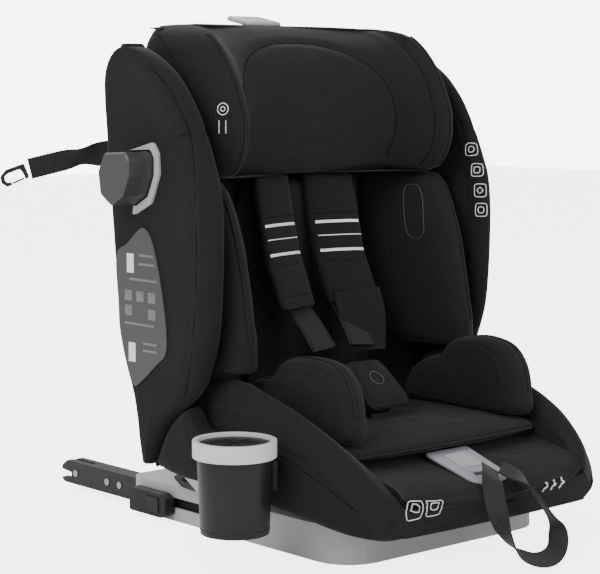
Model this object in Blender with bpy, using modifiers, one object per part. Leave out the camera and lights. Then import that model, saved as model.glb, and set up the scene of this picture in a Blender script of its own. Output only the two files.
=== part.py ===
"""Convertible car seat with ISOFIX arms, reclining backrest and sliding headrest.

Metres. +Z up, the seat faces -Y, X is the width. The origin is on the base's
underside, on the plane of symmetry. Every moving piece hangs from an empty that
stands on its joint's axis.
"""

import math

import bmesh
import bpy
from mathutils import Matrix, Vector

# Overall sizes
WIDTH = 0.454  # over the backrest's two wings
BACK_HEIGHT = 0.560  # floor to the top of the wings
LEAN = math.radians(6.0)  # the backrest's slope from vertical
GAP = 0.0005  # between neighbours that only touch
RUNNING_GAP = 0.0012  # between neighbours that slide past each other

# Base
BASE_HALF_WIDTH = 0.160
BASE_FRONT = -0.184
BASE_BACK = 0.203
BASE_HEIGHT = 0.042
BASE_WALL = 0.003
BASE_FRONT_RADIUS = 0.045
BASE_BACK_RADIUS = 0.018

# ISOFIX arms
ARM_CENTRE = 0.140  # half of the standard 280 mm between the anchor centres
ARM_WIDTH = 0.024
ARM_LOW = 0.0075
ARM_HIGH = BASE_HEIGHT - 0.0055
ARM_BACK = 0.361
ARM_FRONT = 0.055
ARM_TRAVEL = 0.100
ANCHOR_BAR = 0.006
JAW_SLOT = 0.0050
HOOK_THICK = 0.0030
HOOK_PIVOT_FROM_TIP = 0.043
KNOB_LOW = 0.0045
KNOB_HIGH = BASE_HEIGHT - 0.009
KNOB_FRONT = 0.112
KNOB_BACK = 0.183
KNOB_DEPTH = 0.0155
SLOT_LOW = 0.016
SLOT_HIGH = 0.028
STEM_FRONT = 0.140
STEM_BACK = 0.158
BUTTON_TRAVEL = 0.002

# Seat
PIVOT_Y = -0.028  # recline axis
PIVOT_Z = 0.062
LEG_RADIUS = 0.105  # hollow front edge of the wing's lower leg, about the pivot
HUB_GAP = 0.003  # between that edge and the seat's side panel
SHELL_TOP = 0.061
CUSHION_HALF_WIDTH = 0.152
BOLSTER_OUTER = 0.1925
BRACKET_THICK = 0.0055
PANEL_OUTER = 0.222
NOSE_FRONT = -0.262
NOSE_BOW = 0.021  # the front edge curves back this much at its ends

# Backrest
WING_THICK = 0.0275
WING_REAR = 0.107  # the offsets below are measured back from the leaning line
WING_FRONT = -0.050
BACK_SHELL_THICK = 0.014
BACK_SHELL_LOW = 0.096
BACK_BOLSTER_LOW = 0.197
BACK_CUSHION_FRONT = 0.058
BACK_CUSHION_REAR = 0.086

# Headrest
HEADREST_DROP = 0.152  # its lower edge is this far under the wings' top
HEADREST_HALF_WIDTH = 0.187
HEADREST_DEEPEST = -0.022
HEADREST_HEIGHT = 0.180
HEADREST_TRAVEL = 0.140
CARRIAGE_HALF_WIDTH = 0.062
CARRIAGE_FRONT = 0.0875
CARRIAGE_THICK = 0.005
TRACK_RIB = 0.010

# Harness
STRAP_THICK = 0.0015
SHOULDER_STRAP = 0.038
PAD_WIDTH = 0.068
PAD_THICK = 0.016
PAD_SPACING = 0.045

# Cup holder
CUP_X = -0.2625
CUP_Y = -0.123
CUP_RADIUS = 0.0400
CUP_FOOT_RADIUS = 0.0365
CUP_WALL = 0.0020
CUP_LOW = 0.046
CUP_HIGH = 0.131
RIM_RADIUS = 0.0445
RIM_MOUTH = 0.030
RIM_HIGH = 0.1455
CUP_LIFT = 0.030

# Side-impact pads
SIDE_PAD_OUT = WIDTH / 2 + 0.038
SIDE_PAD_TRAVEL = 0.022
SIDE_PAD_GAP = 0.0010

WING_OUTER = WIDTH / 2
WING_INNER = WING_OUTER - WING_THICK
BRACKET_INNER = BOLSTER_OUTER + GAP
BRACKET_OUTER = BRACKET_INNER + BRACKET_THICK
HEADREST_LOW = BACK_HEIGHT - HEADREST_DROP
HEADREST_TOP = HEADREST_LOW + HEADREST_HEIGHT
SIDES = (("left", -1), ("right", 1))


# ---------------------------------------------------------------- helpers


def clear_scene():
    for thing in list(bpy.data.objects):
        bpy.data.objects.remove(thing, do_unlink=True)


def new_collection(name):
    group = bpy.data.collections.new(name)
    bpy.context.scene.collection.children.link(group)
    return group


def new_material(name, colour, roughness, metallic=0.0):
    material = bpy.data.materials.new(name)
    material.use_nodes = True
    shader = material.node_tree.nodes["Principled BSDF"]
    shader.inputs["Base Color"].default_value = (*colour, 1.0)
    shader.inputs["Roughness"].default_value = roughness
    shader.inputs["Metallic"].default_value = metallic
    return material


def add_object(name, mesh, material, group=None):
    thing = bpy.data.objects.new(name, mesh)
    (group or PARTS).objects.link(thing)
    if material:
        mesh.materials.append(material)
    return thing


def face_outwards(shape):
    bmesh.ops.recalc_face_normals(shape, faces=shape.faces)
    if shape.calc_volume(signed=True) < 0:
        bmesh.ops.reverse_faces(shape, faces=shape.faces)


def mesh_from(build, name):
    mesh = bpy.data.meshes.new(name)
    shape = bmesh.new()
    build(shape)
    face_outwards(shape)
    shape.to_mesh(mesh)
    shape.free()
    return mesh


def smooth(thing, degrees=40):
    thing.data.shade_smooth()
    thing.data.set_sharp_from_angle(angle=math.radians(degrees))
    return thing


def round_edges(thing, width, segments=1):
    bevel = thing.modifiers.new("round_edges", "BEVEL")
    bevel.width = width
    bevel.segments = segments
    bevel.limit_method = "ANGLE"
    bevel.angle_limit = math.radians(35)
    return thing


def block(name, low, high, material, edge=0.0, group=None):
    """A box between two corners."""
    size = Vector(high) - Vector(low)
    centre = (Vector(high) + Vector(low)) / 2

    def build(shape):
        bmesh.ops.create_cube(shape, size=1.0)
        bmesh.ops.scale(shape, vec=size, verts=shape.verts)

    thing = add_object(name, mesh_from(build, name), material, group)
    thing.location = centre
    if edge:
        round_edges(thing, edge)
    return thing


def rod(name, radius, start, end, material, segments=20, group=None):
    """A round bar between two points."""
    start, end = Vector(start), Vector(end)
    along = end - start

    def build(shape):
        bmesh.ops.create_cone(shape, cap_ends=True, segments=segments, radius1=radius,
                              radius2=radius, depth=along.length)

    thing = add_object(name, mesh_from(build, name), material, group)
    thing.location = (start + end) / 2
    thing.rotation_mode = "QUATERNION"
    thing.rotation_quaternion = along.to_track_quat("Z", "Y")
    return smooth(thing)


def filleted(points, steps=3):
    """A closed outline whose corners (a, b, radius) become arcs."""
    outline = []
    count = len(points)
    for i, (a, b, radius) in enumerate(points):
        here = Vector((a, b))
        before = Vector(points[i - 1][:2]) - here
        after = Vector(points[(i + 1) % count][:2]) - here
        if radius <= 0:
            outline.append(here)
            continue
        half = before.angle(after) / 2
        reach = min(radius / math.tan(half), 0.48 * before.length, 0.48 * after.length)
        inner = reach * math.tan(half)
        middle = here + (before.normalized() + after.normalized()).normalized() * (inner / math.sin(half))
        first = here + before.normalized() * reach - middle
        last = here + after.normalized() * reach - middle
        turn = first.angle_signed(last)
        for k in range(steps + 1):
            angle = -turn * k / steps
            spin = Matrix.Rotation(angle, 2)
            outline.append(middle + spin @ first)
    return outline


def arc(centre, radius, start, end, steps):
    """Points of an arc, angles in degrees from the first axis, with no fillet."""
    points = []
    for k in range(steps + 1):
        angle = math.radians(start + (end - start) * k / steps)
        points.append((centre[0] + radius * math.cos(angle), centre[1] + radius * math.sin(angle), 0))
    return points


PLANES = {
    "X": Matrix(((0, 0, 1), (1, 0, 0), (0, 1, 0))),  # outline in (y, z)
    "Y": Matrix(((1, 0, 0), (0, 0, -1), (0, 1, 0))),  # outline in (x, z)
    "Z": Matrix.Identity(3),  # outline in (x, y)
}


def plate(name, outline, axis, low, high, material, edge=0.0, group=None):
    """A flat outline given thickness from low to high along an axis."""
    curve = bpy.data.curves.new(name, "CURVE")
    curve.dimensions = "2D"
    curve.fill_mode = "BOTH"
    curve.extrude = (high - low) / 2
    spline = curve.splines.new("POLY")
    spline.points.add(len(outline) - 1)
    for point, place in zip(spline.points, outline):
        point.co = (place[0], place[1], 0, 1)
    spline.use_cyclic_u = True
    guide = bpy.data.objects.new(name + "_outline", curve)
    PARTS.objects.link(guide)
    bpy.context.view_layer.update()
    mesh = bpy.data.meshes.new_from_object(guide.evaluated_get(bpy.context.evaluated_depsgraph_get()))
    bpy.data.objects.remove(guide)
    shape = bmesh.new()
    shape.from_mesh(mesh)
    bmesh.ops.remove_doubles(shape, verts=shape.verts, dist=1e-6)
    bmesh.ops.dissolve_limit(shape, angle_limit=math.radians(1), verts=shape.verts, edges=shape.edges)
    turn = PLANES[axis]
    offset = turn @ Vector((0, 0, 1)) * ((high + low) / 2)
    if axis == "Y":
        offset = Vector((0, (high + low) / 2, 0))
    for vert in shape.verts:
        vert.co = turn @ vert.co + offset
    face_outwards(shape)
    shape.to_mesh(mesh)
    shape.free()
    mesh.name = name
    thing = add_object(name, mesh, material, group)
    if edge:
        round_edges(thing, edge)
    return thing


def loft(name, rings, material, group=None):
    """A closed skin over rings of equal point count, capped at both ends."""

    def build(shape):
        rows = [[shape.verts.new(point) for point in ring] for ring in rings]
        count = len(rows[0])
        for near, far in zip(rows, rows[1:]):
            for k in range(count):
                after = (k + 1) % count
                shape.faces.new((near[k], near[after], far[after], far[k]))
        shape.faces.new(rows[0])
        shape.faces.new(list(reversed(rows[-1])))

    return add_object(name, mesh_from(build, name), material, group)


def turned(name, profile, centre, material, steps=32):
    """A profile of (radius, height) points, top outside to bottom, turned about Z."""
    mesh = bpy.data.meshes.new(name)
    count = len(profile)
    mesh.from_pydata([(r, 0, z) for r, z in profile], [(k, (k + 1) % count) for k in range(count)], [])
    thing = add_object(name, mesh, material)
    thing.location = centre
    screw = thing.modifiers.new("turn", "SCREW")
    screw.steps = steps
    screw.render_steps = steps
    screw.use_merge_vertices = True
    screw.merge_threshold = 0.00005
    screw.use_smooth_shade = True
    return thing


def cut(thing, cutter):
    """Removes the cutter's shape from a part."""
    cutter.hide_render = True
    cutter.display_type = "WIRE"
    change = thing.modifiers.new("cut_" + cutter.name, "BOOLEAN")
    change.operation = "DIFFERENCE"
    change.object = cutter
    change.solver = "EXACT"
    return thing


def join(thing, other):
    """Adds another shape to a part, as one body."""
    other.hide_render = True
    other.display_type = "WIRE"
    change = thing.modifiers.new("join_" + other.name, "BOOLEAN")
    change.operation = "UNION"
    change.object = other
    change.solver = "EXACT"
    return thing


def joint_empty(name, place):
    empty = bpy.data.objects.new(name, None)
    empty.location = place
    empty.empty_display_size = 0.02
    PARTS.objects.link(empty)
    return empty


def hang(empty, *things):
    """Parents parts to the empty that stands on their joint's axis."""
    for thing in things:
        thing.parent = empty
        thing.matrix_parent_inverse = Matrix.Translation(empty.location).inverted()


def lean_y(offset, z):
    """Y of a point this far behind the leaning line at height z."""
    return offset + z * math.tan(LEAN)


def leaning(points):
    return [(lean_y(offset, z), z, radius) for offset, z, radius in points]


def sided(side, low, high):
    """A low and high X for a mirrored piece."""
    return (low, high) if side > 0 else (-high, -low)


# ---------------------------------------------------------------- base


def make_base_tray():
    half = BASE_HALF_WIDTH
    outline = filleted([(-half, BASE_FRONT, BASE_FRONT_RADIUS), (half, BASE_FRONT, BASE_FRONT_RADIUS),
                        (half, BASE_BACK, BASE_BACK_RADIUS), (-half, BASE_BACK, BASE_BACK_RADIUS)], 5)
    tray = plate("base_tray", outline, "Z", 0.0, BASE_HEIGHT, GREY)
    wall = BASE_WALL
    inside = filleted([(-half + wall, BASE_FRONT + wall, BASE_FRONT_RADIUS - wall),
                       (half - wall, BASE_FRONT + wall, BASE_FRONT_RADIUS - wall),
                       (half - wall, BASE_BACK - wall, BASE_BACK_RADIUS - wall),
                       (-half + wall, BASE_BACK - wall, BASE_BACK_RADIUS - wall)], 5)
    cut(tray, plate("base_hollow", inside, "Z", wall, BASE_HEIGHT - wall, None, group=CUTTERS))
    for side_name, side in SIDES:
        low, high = sided(side, ARM_CENTRE - ARM_WIDTH / 2 - RUNNING_GAP, ARM_CENTRE + ARM_WIDTH / 2 + RUNNING_GAP)
        cut(tray, block("arm_hole_" + side_name, (low, BASE_BACK - 0.03, ARM_LOW - RUNNING_GAP),
                        (high, BASE_BACK + 0.01, ARM_HIGH + RUNNING_GAP), None, group=CUTTERS))
        low, high = sided(side, half - 2 * wall, half + wall)
        cut(tray, block("knob_slot_" + side_name, (low, STEM_FRONT - ARM_TRAVEL - 0.004, SLOT_LOW),
                        (high, STEM_BACK + 0.004, SLOT_HIGH), None, group=CUTTERS))
    return tray


def arm_outline():
    tip = ARM_BACK
    middle = 0.0185
    half_mouth = ANCHOR_BAR / 2 + 0.0022
    above = ARM_HIGH - middle - half_mouth
    return filleted([
        (ARM_FRONT, ARM_LOW, 0), (tip - 0.006, ARM_LOW, 0.003), (tip, ARM_LOW + 0.004, 0.002),
        (tip, middle - half_mouth, 0), (tip - 0.021, middle - ANCHOR_BAR / 2 - 0.0004, 0.002),
        (tip - 0.021, middle + ANCHOR_BAR / 2 + 0.0004, 0.002), (tip, middle + half_mouth, 0),
        (tip, ARM_HIGH - 0.625 * above, 0.003), (tip - 0.012, ARM_HIGH, 0.003), (ARM_FRONT, ARM_HIGH, 0)], 2)


def hook_outline():
    """Latch claw about its own pivot, closed over the anchor bar."""
    return filleted([(-0.007, -0.003, 0.003), (-0.005, 0.006, 0.003), (0.018, 0.0075, 0.002),
                     (0.034, 0.003, 0.003), (0.0375, -0.006, 0.002), (0.0335, -0.0125, 0.001),
                     (0.0300, -0.0110, 0), (0.0305, -0.0040, 0.002), (0.018, -0.0030, 0.001),
                     (0.004, -0.0065, 0.002)], 2)


def make_isofix():
    frame = joint_empty("isofix_slide", (0, ARM_FRONT, (ARM_LOW + ARM_HIGH) / 2))
    pivot_y = ARM_BACK - HOOK_PIVOT_FROM_TIP
    pivot_z = ARM_HIGH - 0.0095
    for side_name, side in SIDES:
        low, high = sided(side, ARM_CENTRE - ARM_WIDTH / 2, ARM_CENTRE + ARM_WIDTH / 2)
        arm = plate("isofix_arm_" + side_name, arm_outline(), "X", low, high, DARK_STEEL)
        slot_low, slot_high = side * ARM_CENTRE - JAW_SLOT / 2, side * ARM_CENTRE + JAW_SLOT / 2
        cut(arm, block("jaw_slot_" + side_name, (slot_low, pivot_y - 0.012, 0.0),
                       (slot_high, ARM_BACK + 0.01, 0.06), None, group=CUTTERS))
        hook = plate("isofix_hook_" + side_name, hook_outline(), "X", -HOOK_THICK / 2, HOOK_THICK / 2, STEEL)
        hook.location = (side * ARM_CENTRE, pivot_y, pivot_z)
        hook_axis = joint_empty("isofix_hook_axis_" + side_name, (side * ARM_CENTRE, pivot_y, pivot_z))
        hang(hook_axis, hook)
        knob_in = BASE_HALF_WIDTH + RUNNING_GAP
        knob_out = knob_in + KNOB_DEPTH
        knob_mid = (KNOB_LOW + KNOB_HIGH) / 2
        outline = filleted([(KNOB_FRONT, knob_mid - 0.009, 0.003), (KNOB_FRONT + 0.010, KNOB_LOW, 0.002),
                            (KNOB_BACK, KNOB_LOW, 0.003), (KNOB_BACK, KNOB_HIGH, 0.003),
                            (KNOB_FRONT + 0.010, KNOB_HIGH, 0.002), (KNOB_FRONT, knob_mid + 0.009, 0.003)], 2)
        low, high = sided(side, knob_in, knob_out)
        knob = plate("isofix_knob_" + side_name, outline, "X", low, high, BLACK_PLASTIC, edge=0.0012)
        low, high = sided(side, ARM_CENTRE + ARM_WIDTH / 2 + GAP, knob_in + 0.002)
        join(knob, block("knob_stem_" + side_name, (low, STEM_FRONT, SLOT_LOW + RUNNING_GAP),
                         (high, STEM_BACK, SLOT_HIGH - RUNNING_GAP), None, group=CUTTERS))
        button_front, button_back = KNOB_FRONT + 0.012, KNOB_FRONT + 0.034
        low, high = sided(side, knob_out - 0.0065, knob_out + 0.004)
        cut(knob, block("button_pocket_" + side_name,
                        (low, button_front - GAP, KNOB_LOW + 0.005 - GAP),
                        (high, button_back + GAP, KNOB_HIGH - 0.005 + GAP), None, group=CUTTERS))
        low, high = sided(side, knob_out - 0.0035, knob_out + BUTTON_TRAVEL - 0.0005)
        button = block("isofix_button_" + side_name, (low, button_front, KNOB_LOW + 0.005),
                       (high, button_back, KNOB_HIGH - 0.005), BLACK_PLASTIC, edge=0.0006)
        press = joint_empty("isofix_button_axis_" + side_name, (side * knob_out, (button_front + button_back) / 2, knob_mid))
        hang(press, button)
        hang(frame, arm, knob)
    inner = ARM_CENTRE - ARM_WIDTH / 2 - GAP
    tube = rod("isofix_cross_tube", 0.006, (-inner, ARM_FRONT + 0.012, 0.022), (inner, ARM_FRONT + 0.012, 0.022), STEEL, 16)
    hang(frame, tube)


# ---------------------------------------------------------------- seat


def rounded_plan(half, front, back, front_radius, back_radius, z, steps=4):
    outline = filleted([(-half, front, front_radius), (half, front, front_radius),
                        (half, back, back_radius), (-half, back, back_radius)], steps)
    return [(x, y, z) for x, y in outline]


def make_seat_shell():
    low = BASE_HEIGHT + GAP
    rings = [rounded_plan(0.163, -0.178, 0.085, 0.05, 0.03, low),
             rounded_plan(0.182, -0.190, 0.094, 0.05, 0.03, low + 0.008),
             rounded_plan(BOLSTER_OUTER - 0.002, -0.194, 0.096, 0.05, 0.03, SHELL_TOP)]
    shell = loft("seat_shell", rings, BLACK_PLASTIC)
    hollow = loft("seat_shell_hollow", [rounded_plan(0.157, -0.172, 0.079, 0.045, 0.025, low - 0.001),
                                        rounded_plan(0.176, -0.184, 0.086, 0.045, 0.025, SHELL_TOP - 0.004)],
                  None, CUTTERS)
    return cut(shell, hollow)


def make_seat_cushion():
    low = SHELL_TOP + GAP
    outline = filleted([(NOSE_FRONT + 0.004, 0.040, 0.004), (NOSE_FRONT, 0.058, 0.01),
                        (NOSE_FRONT + 0.004, 0.078, 0.012), (-0.170, 0.1040, 0.04), (-0.020, 0.1080, 0.02),
                        (0.060, 0.104, 0.02), (0.088, 0.092, 0.012), (0.088, low, 0.004),
                        (-0.214, low, 0), (-0.222, 0.040, 0.004)], 2)
    half = CUSHION_HALF_WIDTH
    cushion = plate("seat_cushion", outline, "X", -half, half, FABRIC)
    bow = [(x, NOSE_FRONT + NOSE_BOW * (abs(x) / half) ** 2.2, 0) for x in (half * k / 8 for k in range(-9, 10))]
    bow = [(x, y) for x, y, _ in bow] + [(0.2, NOSE_FRONT - 0.05), (-0.2, NOSE_FRONT - 0.05)]
    return cut(cushion, plate("nose_bow", bow, "Z", 0.0, 0.2, None, group=CUTTERS))


def bolster_rings(side):
    """Sections across the seat's side bolster, from the back to the front."""
    #  y, ridge x, ridge z, outer x, shoulder z, underside z
    sections = ((0.038, 0.176, 0.150, 0.190, 0.135, 0.075), (0.020, 0.178, 0.180, 0.192, 0.160, 0.074),
                (-0.034, 0.178, 0.185, 0.1925, 0.160, 0.070), (-0.080, 0.178, 0.174, 0.1925, 0.150, 0.066),
                (-0.124, 0.177, 0.163, 0.1925, 0.140, 0.063), (-0.160, 0.176, 0.149, 0.1925, 0.128, 0.062),
                (-0.198, 0.173, 0.128, 0.1915, 0.108, 0.058), (-0.222, 0.168, 0.113, 0.186, 0.096, 0.052),
                (-0.242, 0.162, 0.095, 0.172, 0.082, 0.046))
    inner = CUSHION_HALF_WIDTH + GAP
    rings = []
    for y, ridge_x, ridge_z, outer_x, shoulder_z, under_z in sections:
        lift = 0.0 if y < -0.21 else SHELL_TOP + GAP - under_z
        under = under_z + max(lift, 0.0)
        ring = [(inner, y, under), (inner, y, under + 0.55 * (ridge_z - under)), (ridge_x - 0.010, y, ridge_z - 0.004),
                (ridge_x, y, ridge_z), (outer_x - 0.004, y, shoulder_z + 0.012), (outer_x, y, shoulder_z),
                (outer_x - 0.001, y, under)]
        rings.append([(side * x, py, z) for x, py, z in ring])
    return rings


def make_seat_sides():
    for side_name, side in SIDES:
        loft("seat_bolster_" + side_name, bolster_rings(side), FABRIC)
        hub = arc((PIVOT_Y, PIVOT_Z), LEG_RADIUS - HUB_GAP, 10, 66, 8)
        outline = [point[:2] for point in hub]
        outline += [(-0.008, 0.131), (-0.030, 0.128), (-0.090, 0.130), (-0.148, 0.122), (-0.190, 0.104),
                    (-0.190, 0.060), (-0.100, 0.062), (0.010, 0.070)]
        low, high = sided(side, BRACKET_OUTER + GAP, PANEL_OUTER)
        panel = plate("seat_side_panel_" + side_name, outline, "X", low, high, FABRIC, edge=0.003)
        taper = [(0.212, -0.30, 0.0), (0.2125, -0.14, 0.0), (0.2235, 0.0, 0.0), (0.30, 0.0, 0.0), (0.30, -0.30, 0.0)]
        rings = [[(side * x, y, z) for x, y, _ in taper] for z in (0.02, 0.20)]
        cut(panel, loft("panel_taper_" + side_name, rings, None, CUTTERS))
        inner, outer = BRACKET_INNER + GAP, BRACKET_OUTER + 0.008
        pin = rod("pivot_pin_" + side_name, 0.006, (side * inner, PIVOT_Y, PIVOT_Z), (side * outer, PIVOT_Y, PIVOT_Z), STEEL, 16)
        pin.rotation_mode = "QUATERNION"
        cut(panel, rod("pin_pocket_" + side_name, 0.0063, (side * (inner - 0.01), PIVOT_Y, PIVOT_Z),
                       (side * (outer + 0.001), PIVOT_Y, PIVOT_Z), None, 16, CUTTERS))


def make_insert():
    """Small-child insert: a seat cushion with two soft arm bolsters standing on it."""
    outline = filleted([(-0.184, 0.1095, 0.006), (-0.186, 0.120, 0.006), (-0.176, 0.128, 0.006),
                        (0.020, 0.128, 0.006), (0.026, 0.112, 0.004)], 2)
    floor = 0.1095
    outline = [(y, max(z, floor)) for y, z in outline]
    half = CUSHION_HALF_WIDTH - 0.003
    plate("insert_seat_cushion", outline, "X", -half, half, FABRIC)
    for side_name, side in SIDES:
        outline = filleted([(-0.180, 0.1290, 0.01), (-0.181, 0.180, 0.03), (-0.158, 0.217, 0.03), (-0.090, 0.221, 0.05),
                            (-0.046, 0.207, 0.02), (-0.040, 0.1290, 0.01)], 3)
        low, high = sided(side, 0.108, CUSHION_HALF_WIDTH - 0.001)
        plate("insert_arm_bolster_" + side_name, outline, "X", low, high, FABRIC, edge=0.010)


# ---------------------------------------------------------------- harness on the seat

BUCKLE_TILT = math.radians(41.8)
BUCKLE_CENTRE = Vector((0.0, -0.050, 0.157))


def placed(thing, centre, tilt):
    """Puts a piece modelled flat in XY at its centre, its +Y end raised by the tilt."""
    thing.location = centre
    thing.rotation_euler = (tilt, 0, 0)
    return thing


def buckle_point(x, along, out):
    """A point in the buckle's own axes: along its length, and out of its front face."""
    turn = Matrix.Rotation(BUCKLE_TILT, 3, "X")
    return BUCKLE_CENTRE + turn @ Vector((x, along, out))


def make_buckle():
    outline = filleted([(-0.021, -0.028, 0.008), (0.021, -0.028, 0.008), (0.024, 0.026, 0.006), (-0.024, 0.026, 0.006)], 3)
    buckle = plate("buckle", outline, "Z", -0.009, 0.009, BLACK_PLASTIC, edge=0.002)
    placed(buckle, BUCKLE_CENTRE, BUCKLE_TILT)
    pocket = block("buckle_pocket", (-0.0095, -0.0105, 0.0030), (0.0095, 0.0105, 0.02), None, group=CUTTERS)
    pocket.parent = buckle
    cut(buckle, pocket)
    button = block("buckle_button", (-0.0090, -0.0100, 0.0075), (0.0090, 0.0100, 0.0100), RED, edge=0.0006)
    button.rotation_euler = (BUCKLE_TILT, 0, 0)
    button.location = buckle_point(0, 0, 0.00875)
    press = joint_empty("buckle_button_axis", buckle_point(0, 0, 0.00875))
    hang(press, button)
    tongue = filleted([(-0.030, 0.0270, 0.003), (0.030, 0.0270, 0.003), (0.034, 0.042, 0.004), (-0.034, 0.042, 0.004)], 2)
    placed(plate("harness_tongue", tongue, "Z", -0.0015, 0.0015, STEEL), BUCKLE_CENTRE, BUCKLE_TILT)
    pad = filleted([(-0.033, -0.030, 0.012), (0.033, -0.030, 0.012), (0.028, 0.036, 0.006), (-0.028, 0.036, 0.006)], 3)
    placed(plate("crotch_pad", pad, "Z", -0.0035, 0.0035, FABRIC, edge=0.002), buckle_point(0, -0.004, 0.0155), BUCKLE_TILT)
    foot = buckle_point(0, -0.0285, 0)
    low = 0.1288
    block("crotch_strap", (-0.019, foot.y - 0.003, low), (0.019, foot.y - 0.0012, foot.z - 0.0018), WEBBING)


def nose_z(y):
    """Height of the nose's top surface at the middle."""
    slope = (0.104 - 0.084) / 0.084
    return 0.1055 + slope * (y + 0.170)


def make_adjuster():
    """Light plastic surround of the harness adjuster, its press button and the pull strap."""
    tilt = math.atan2(0.104 - 0.078, -0.170 - (NOSE_FRONT + 0.004))
    middle = -0.213
    centre = (0.0, middle, 0.104 + math.tan(tilt) * (middle + 0.170) + 0.0035)
    outline = filleted([(-0.033, 0.040, 0.003), (0.033, 0.040, 0.003), (0.028, -0.039, 0.016), (-0.028, -0.039, 0.016)], 4)
    surround = placed(plate("adjuster_plate", outline, "Z", -0.0015, 0.0025, SILVER, edge=0.0008), centre, tilt)
    pocket = block("adjuster_pocket", (-0.0165, -0.0055, -0.0003), (0.0165, 0.0275, 0.01), None, group=CUTTERS)
    slot = block("strap_slot", (-0.0150, -0.024, -0.01), (0.0150, -0.017, 0.01), None, group=CUTTERS)
    for cutter in (pocket, slot):
        cutter.parent = surround
        cut(surround, cutter)
    button = block("adjuster_button", (-0.016, -0.005, 0.0018), (0.016, 0.027, 0.0040), GREY, edge=0.0006)
    turn = Matrix.Rotation(tilt, 3, "X")
    offset = turn @ Vector((0, 0.011, 0.0029))
    button.location = Vector(centre) + offset
    button.rotation_euler = (tilt, 0, 0)
    press = joint_empty("adjuster_button_axis", button.location.copy())
    hang(press, button)
    # The webbing loop leaves the slot, drops in front of the nose and comes back.
    route = ((-0.001, -0.243, 0.0985), (-0.018, -0.262, 0.0900), (-0.030, -0.280, 0.0660), (-0.034, -0.296, 0.0420),
             (-0.027, -0.310, 0.0210), (-0.008, -0.318, 0.0110), (0.016, -0.317, 0.0100), (0.036, -0.310, 0.0180),
             (0.044, -0.300, 0.0360), (0.036, -0.287, 0.0600), (0.024, -0.270, 0.0850), (0.009, -0.250, 0.0985))
    strap_loop("adjuster_strap", route, 0.022, 0.0018)


def band(name, route, width, thickness, across, material):
    """A flat strap along a route; across gives its width direction at each point."""
    rings = []
    count = len(route)
    for i, place in enumerate(route):
        here = Vector(place)
        ahead = Vector(route[min(i + 1, count - 1)]) - Vector(route[max(i - 1, 0)])
        wide = Vector(across(i)).normalized()
        wide = (wide - ahead.normalized() * wide.dot(ahead.normalized())).normalized()
        thick = ahead.normalized().cross(wide)
        a, b = wide * width / 2, thick * thickness / 2
        rings.append([tuple(here - a - b), tuple(here + a - b), tuple(here + a + b), tuple(here - a + b)])
    return loft(name, rings, material)


def strap_loop(name, route, width, thickness):
    """An open loop of webbing whose width runs front to back at the bottom."""

    def across(i):
        return (0.0, 0.8, 0.55)

    return band(name, route, width, thickness, across, WEBBING)


# ---------------------------------------------------------------- cup holder


def make_cup_holder():
    centre = (CUP_X, CUP_Y, 0)
    inner = CUP_RADIUS - CUP_WALL
    foot = CUP_FOOT_RADIUS
    profile = [(0.0, CUP_LOW), (0.0, CUP_LOW + CUP_WALL), (foot - CUP_WALL - 0.001, CUP_LOW + CUP_WALL),
               (inner, CUP_HIGH), (CUP_RADIUS, CUP_HIGH), (foot, CUP_LOW + 0.003), (foot - 0.003, CUP_LOW)]
    cup = turned("cup_holder_cup", profile, centre, BLACK_PLASTIC)
    low = CUP_HIGH - 0.004
    ring = [(RIM_RADIUS, RIM_HIGH - 0.004), (RIM_RADIUS, low), (CUP_RADIUS + GAP, low), (CUP_RADIUS + GAP, CUP_HIGH + GAP),
            (RIM_MOUTH, CUP_HIGH + GAP), (RIM_MOUTH, RIM_HIGH - 0.001), (RIM_RADIUS - 0.004, RIM_HIGH)]
    rim = turned("cup_holder_rim", ring, centre, LIGHT_GREY)
    lift = joint_empty("cup_holder_lift", centre)
    hang(lift, cup, rim)
    wall = 0.2152
    reach = abs(CUP_X) - CUP_RADIUS - 0.0006
    block("cup_holder_bracket", (-reach, CUP_Y - 0.014, 0.086), (-wall, CUP_Y + 0.014, 0.118), BLACK_PLASTIC)


# ---------------------------------------------------------------- backrest


def wing_outline():
    top = BACK_HEIGHT
    body = leaning([(0.080, 0.083, 0.006), (0.0865, 0.140, 0.05), (0.1055, 0.212, 0.08), (WING_REAR + 0.003, top - 0.001, 0.045),
                    (0.045, top - 0.001, 0.04), (-0.020, top - 0.047, 0.05), (WING_FRONT, top - 0.088, 0.05),
                    (WING_FRONT, 0.238, 0.04)])
    outline = [tuple(p) for p in filleted(body + [(0.011, 0.1605, 0)] , 3)]
    leg = arc((PIVOT_Y, PIVOT_Z), LEG_RADIUS, 66, 12, 7)
    return outline[:-1] + [point[:2] for point in leg]


def side_pad_outline(grow=0.0):
    """The side-impact pad seen from the side, grown evenly for its pocket and trim."""
    y, z = lean_y(0.0425, BACK_HEIGHT - 0.151), BACK_HEIGHT - 0.151
    corners = [(0.030, 0.008), (0.018, 0.029), (-0.022, 0.031), (-0.028, 0.022), (-0.027, 0.004), (-0.016, -0.018),
               (0.006, -0.030), (0.026, -0.018)]
    points = []
    for dy, dz in corners:
        away = Vector((dy, dz)).normalized() * grow
        points.append((y + dy + away.x, z + dz + away.y, 0.006))
    return filleted(points, 2)


def trim_outline():
    """A crescent round the front of the side-impact pad, open towards the back."""
    outer = side_pad_outline(0.0120)
    inner = side_pad_outline(0.0025)
    edge = lean_y(0.0425, BACK_HEIGHT - 0.151) + 0.020
    outer = [p for p in outer if p[0] < edge]
    inner = [p for p in inner if p[0] < edge]
    centre = Vector((edge + 0.02, BACK_HEIGHT - 0.151))

    def turn(point):
        return math.atan2(point[1] - centre.y, point[0] - centre.x) % (2 * math.pi)

    outer.sort(key=turn)
    inner.sort(key=turn, reverse=True)
    return [tuple(p) for p in outer + inner]


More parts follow.
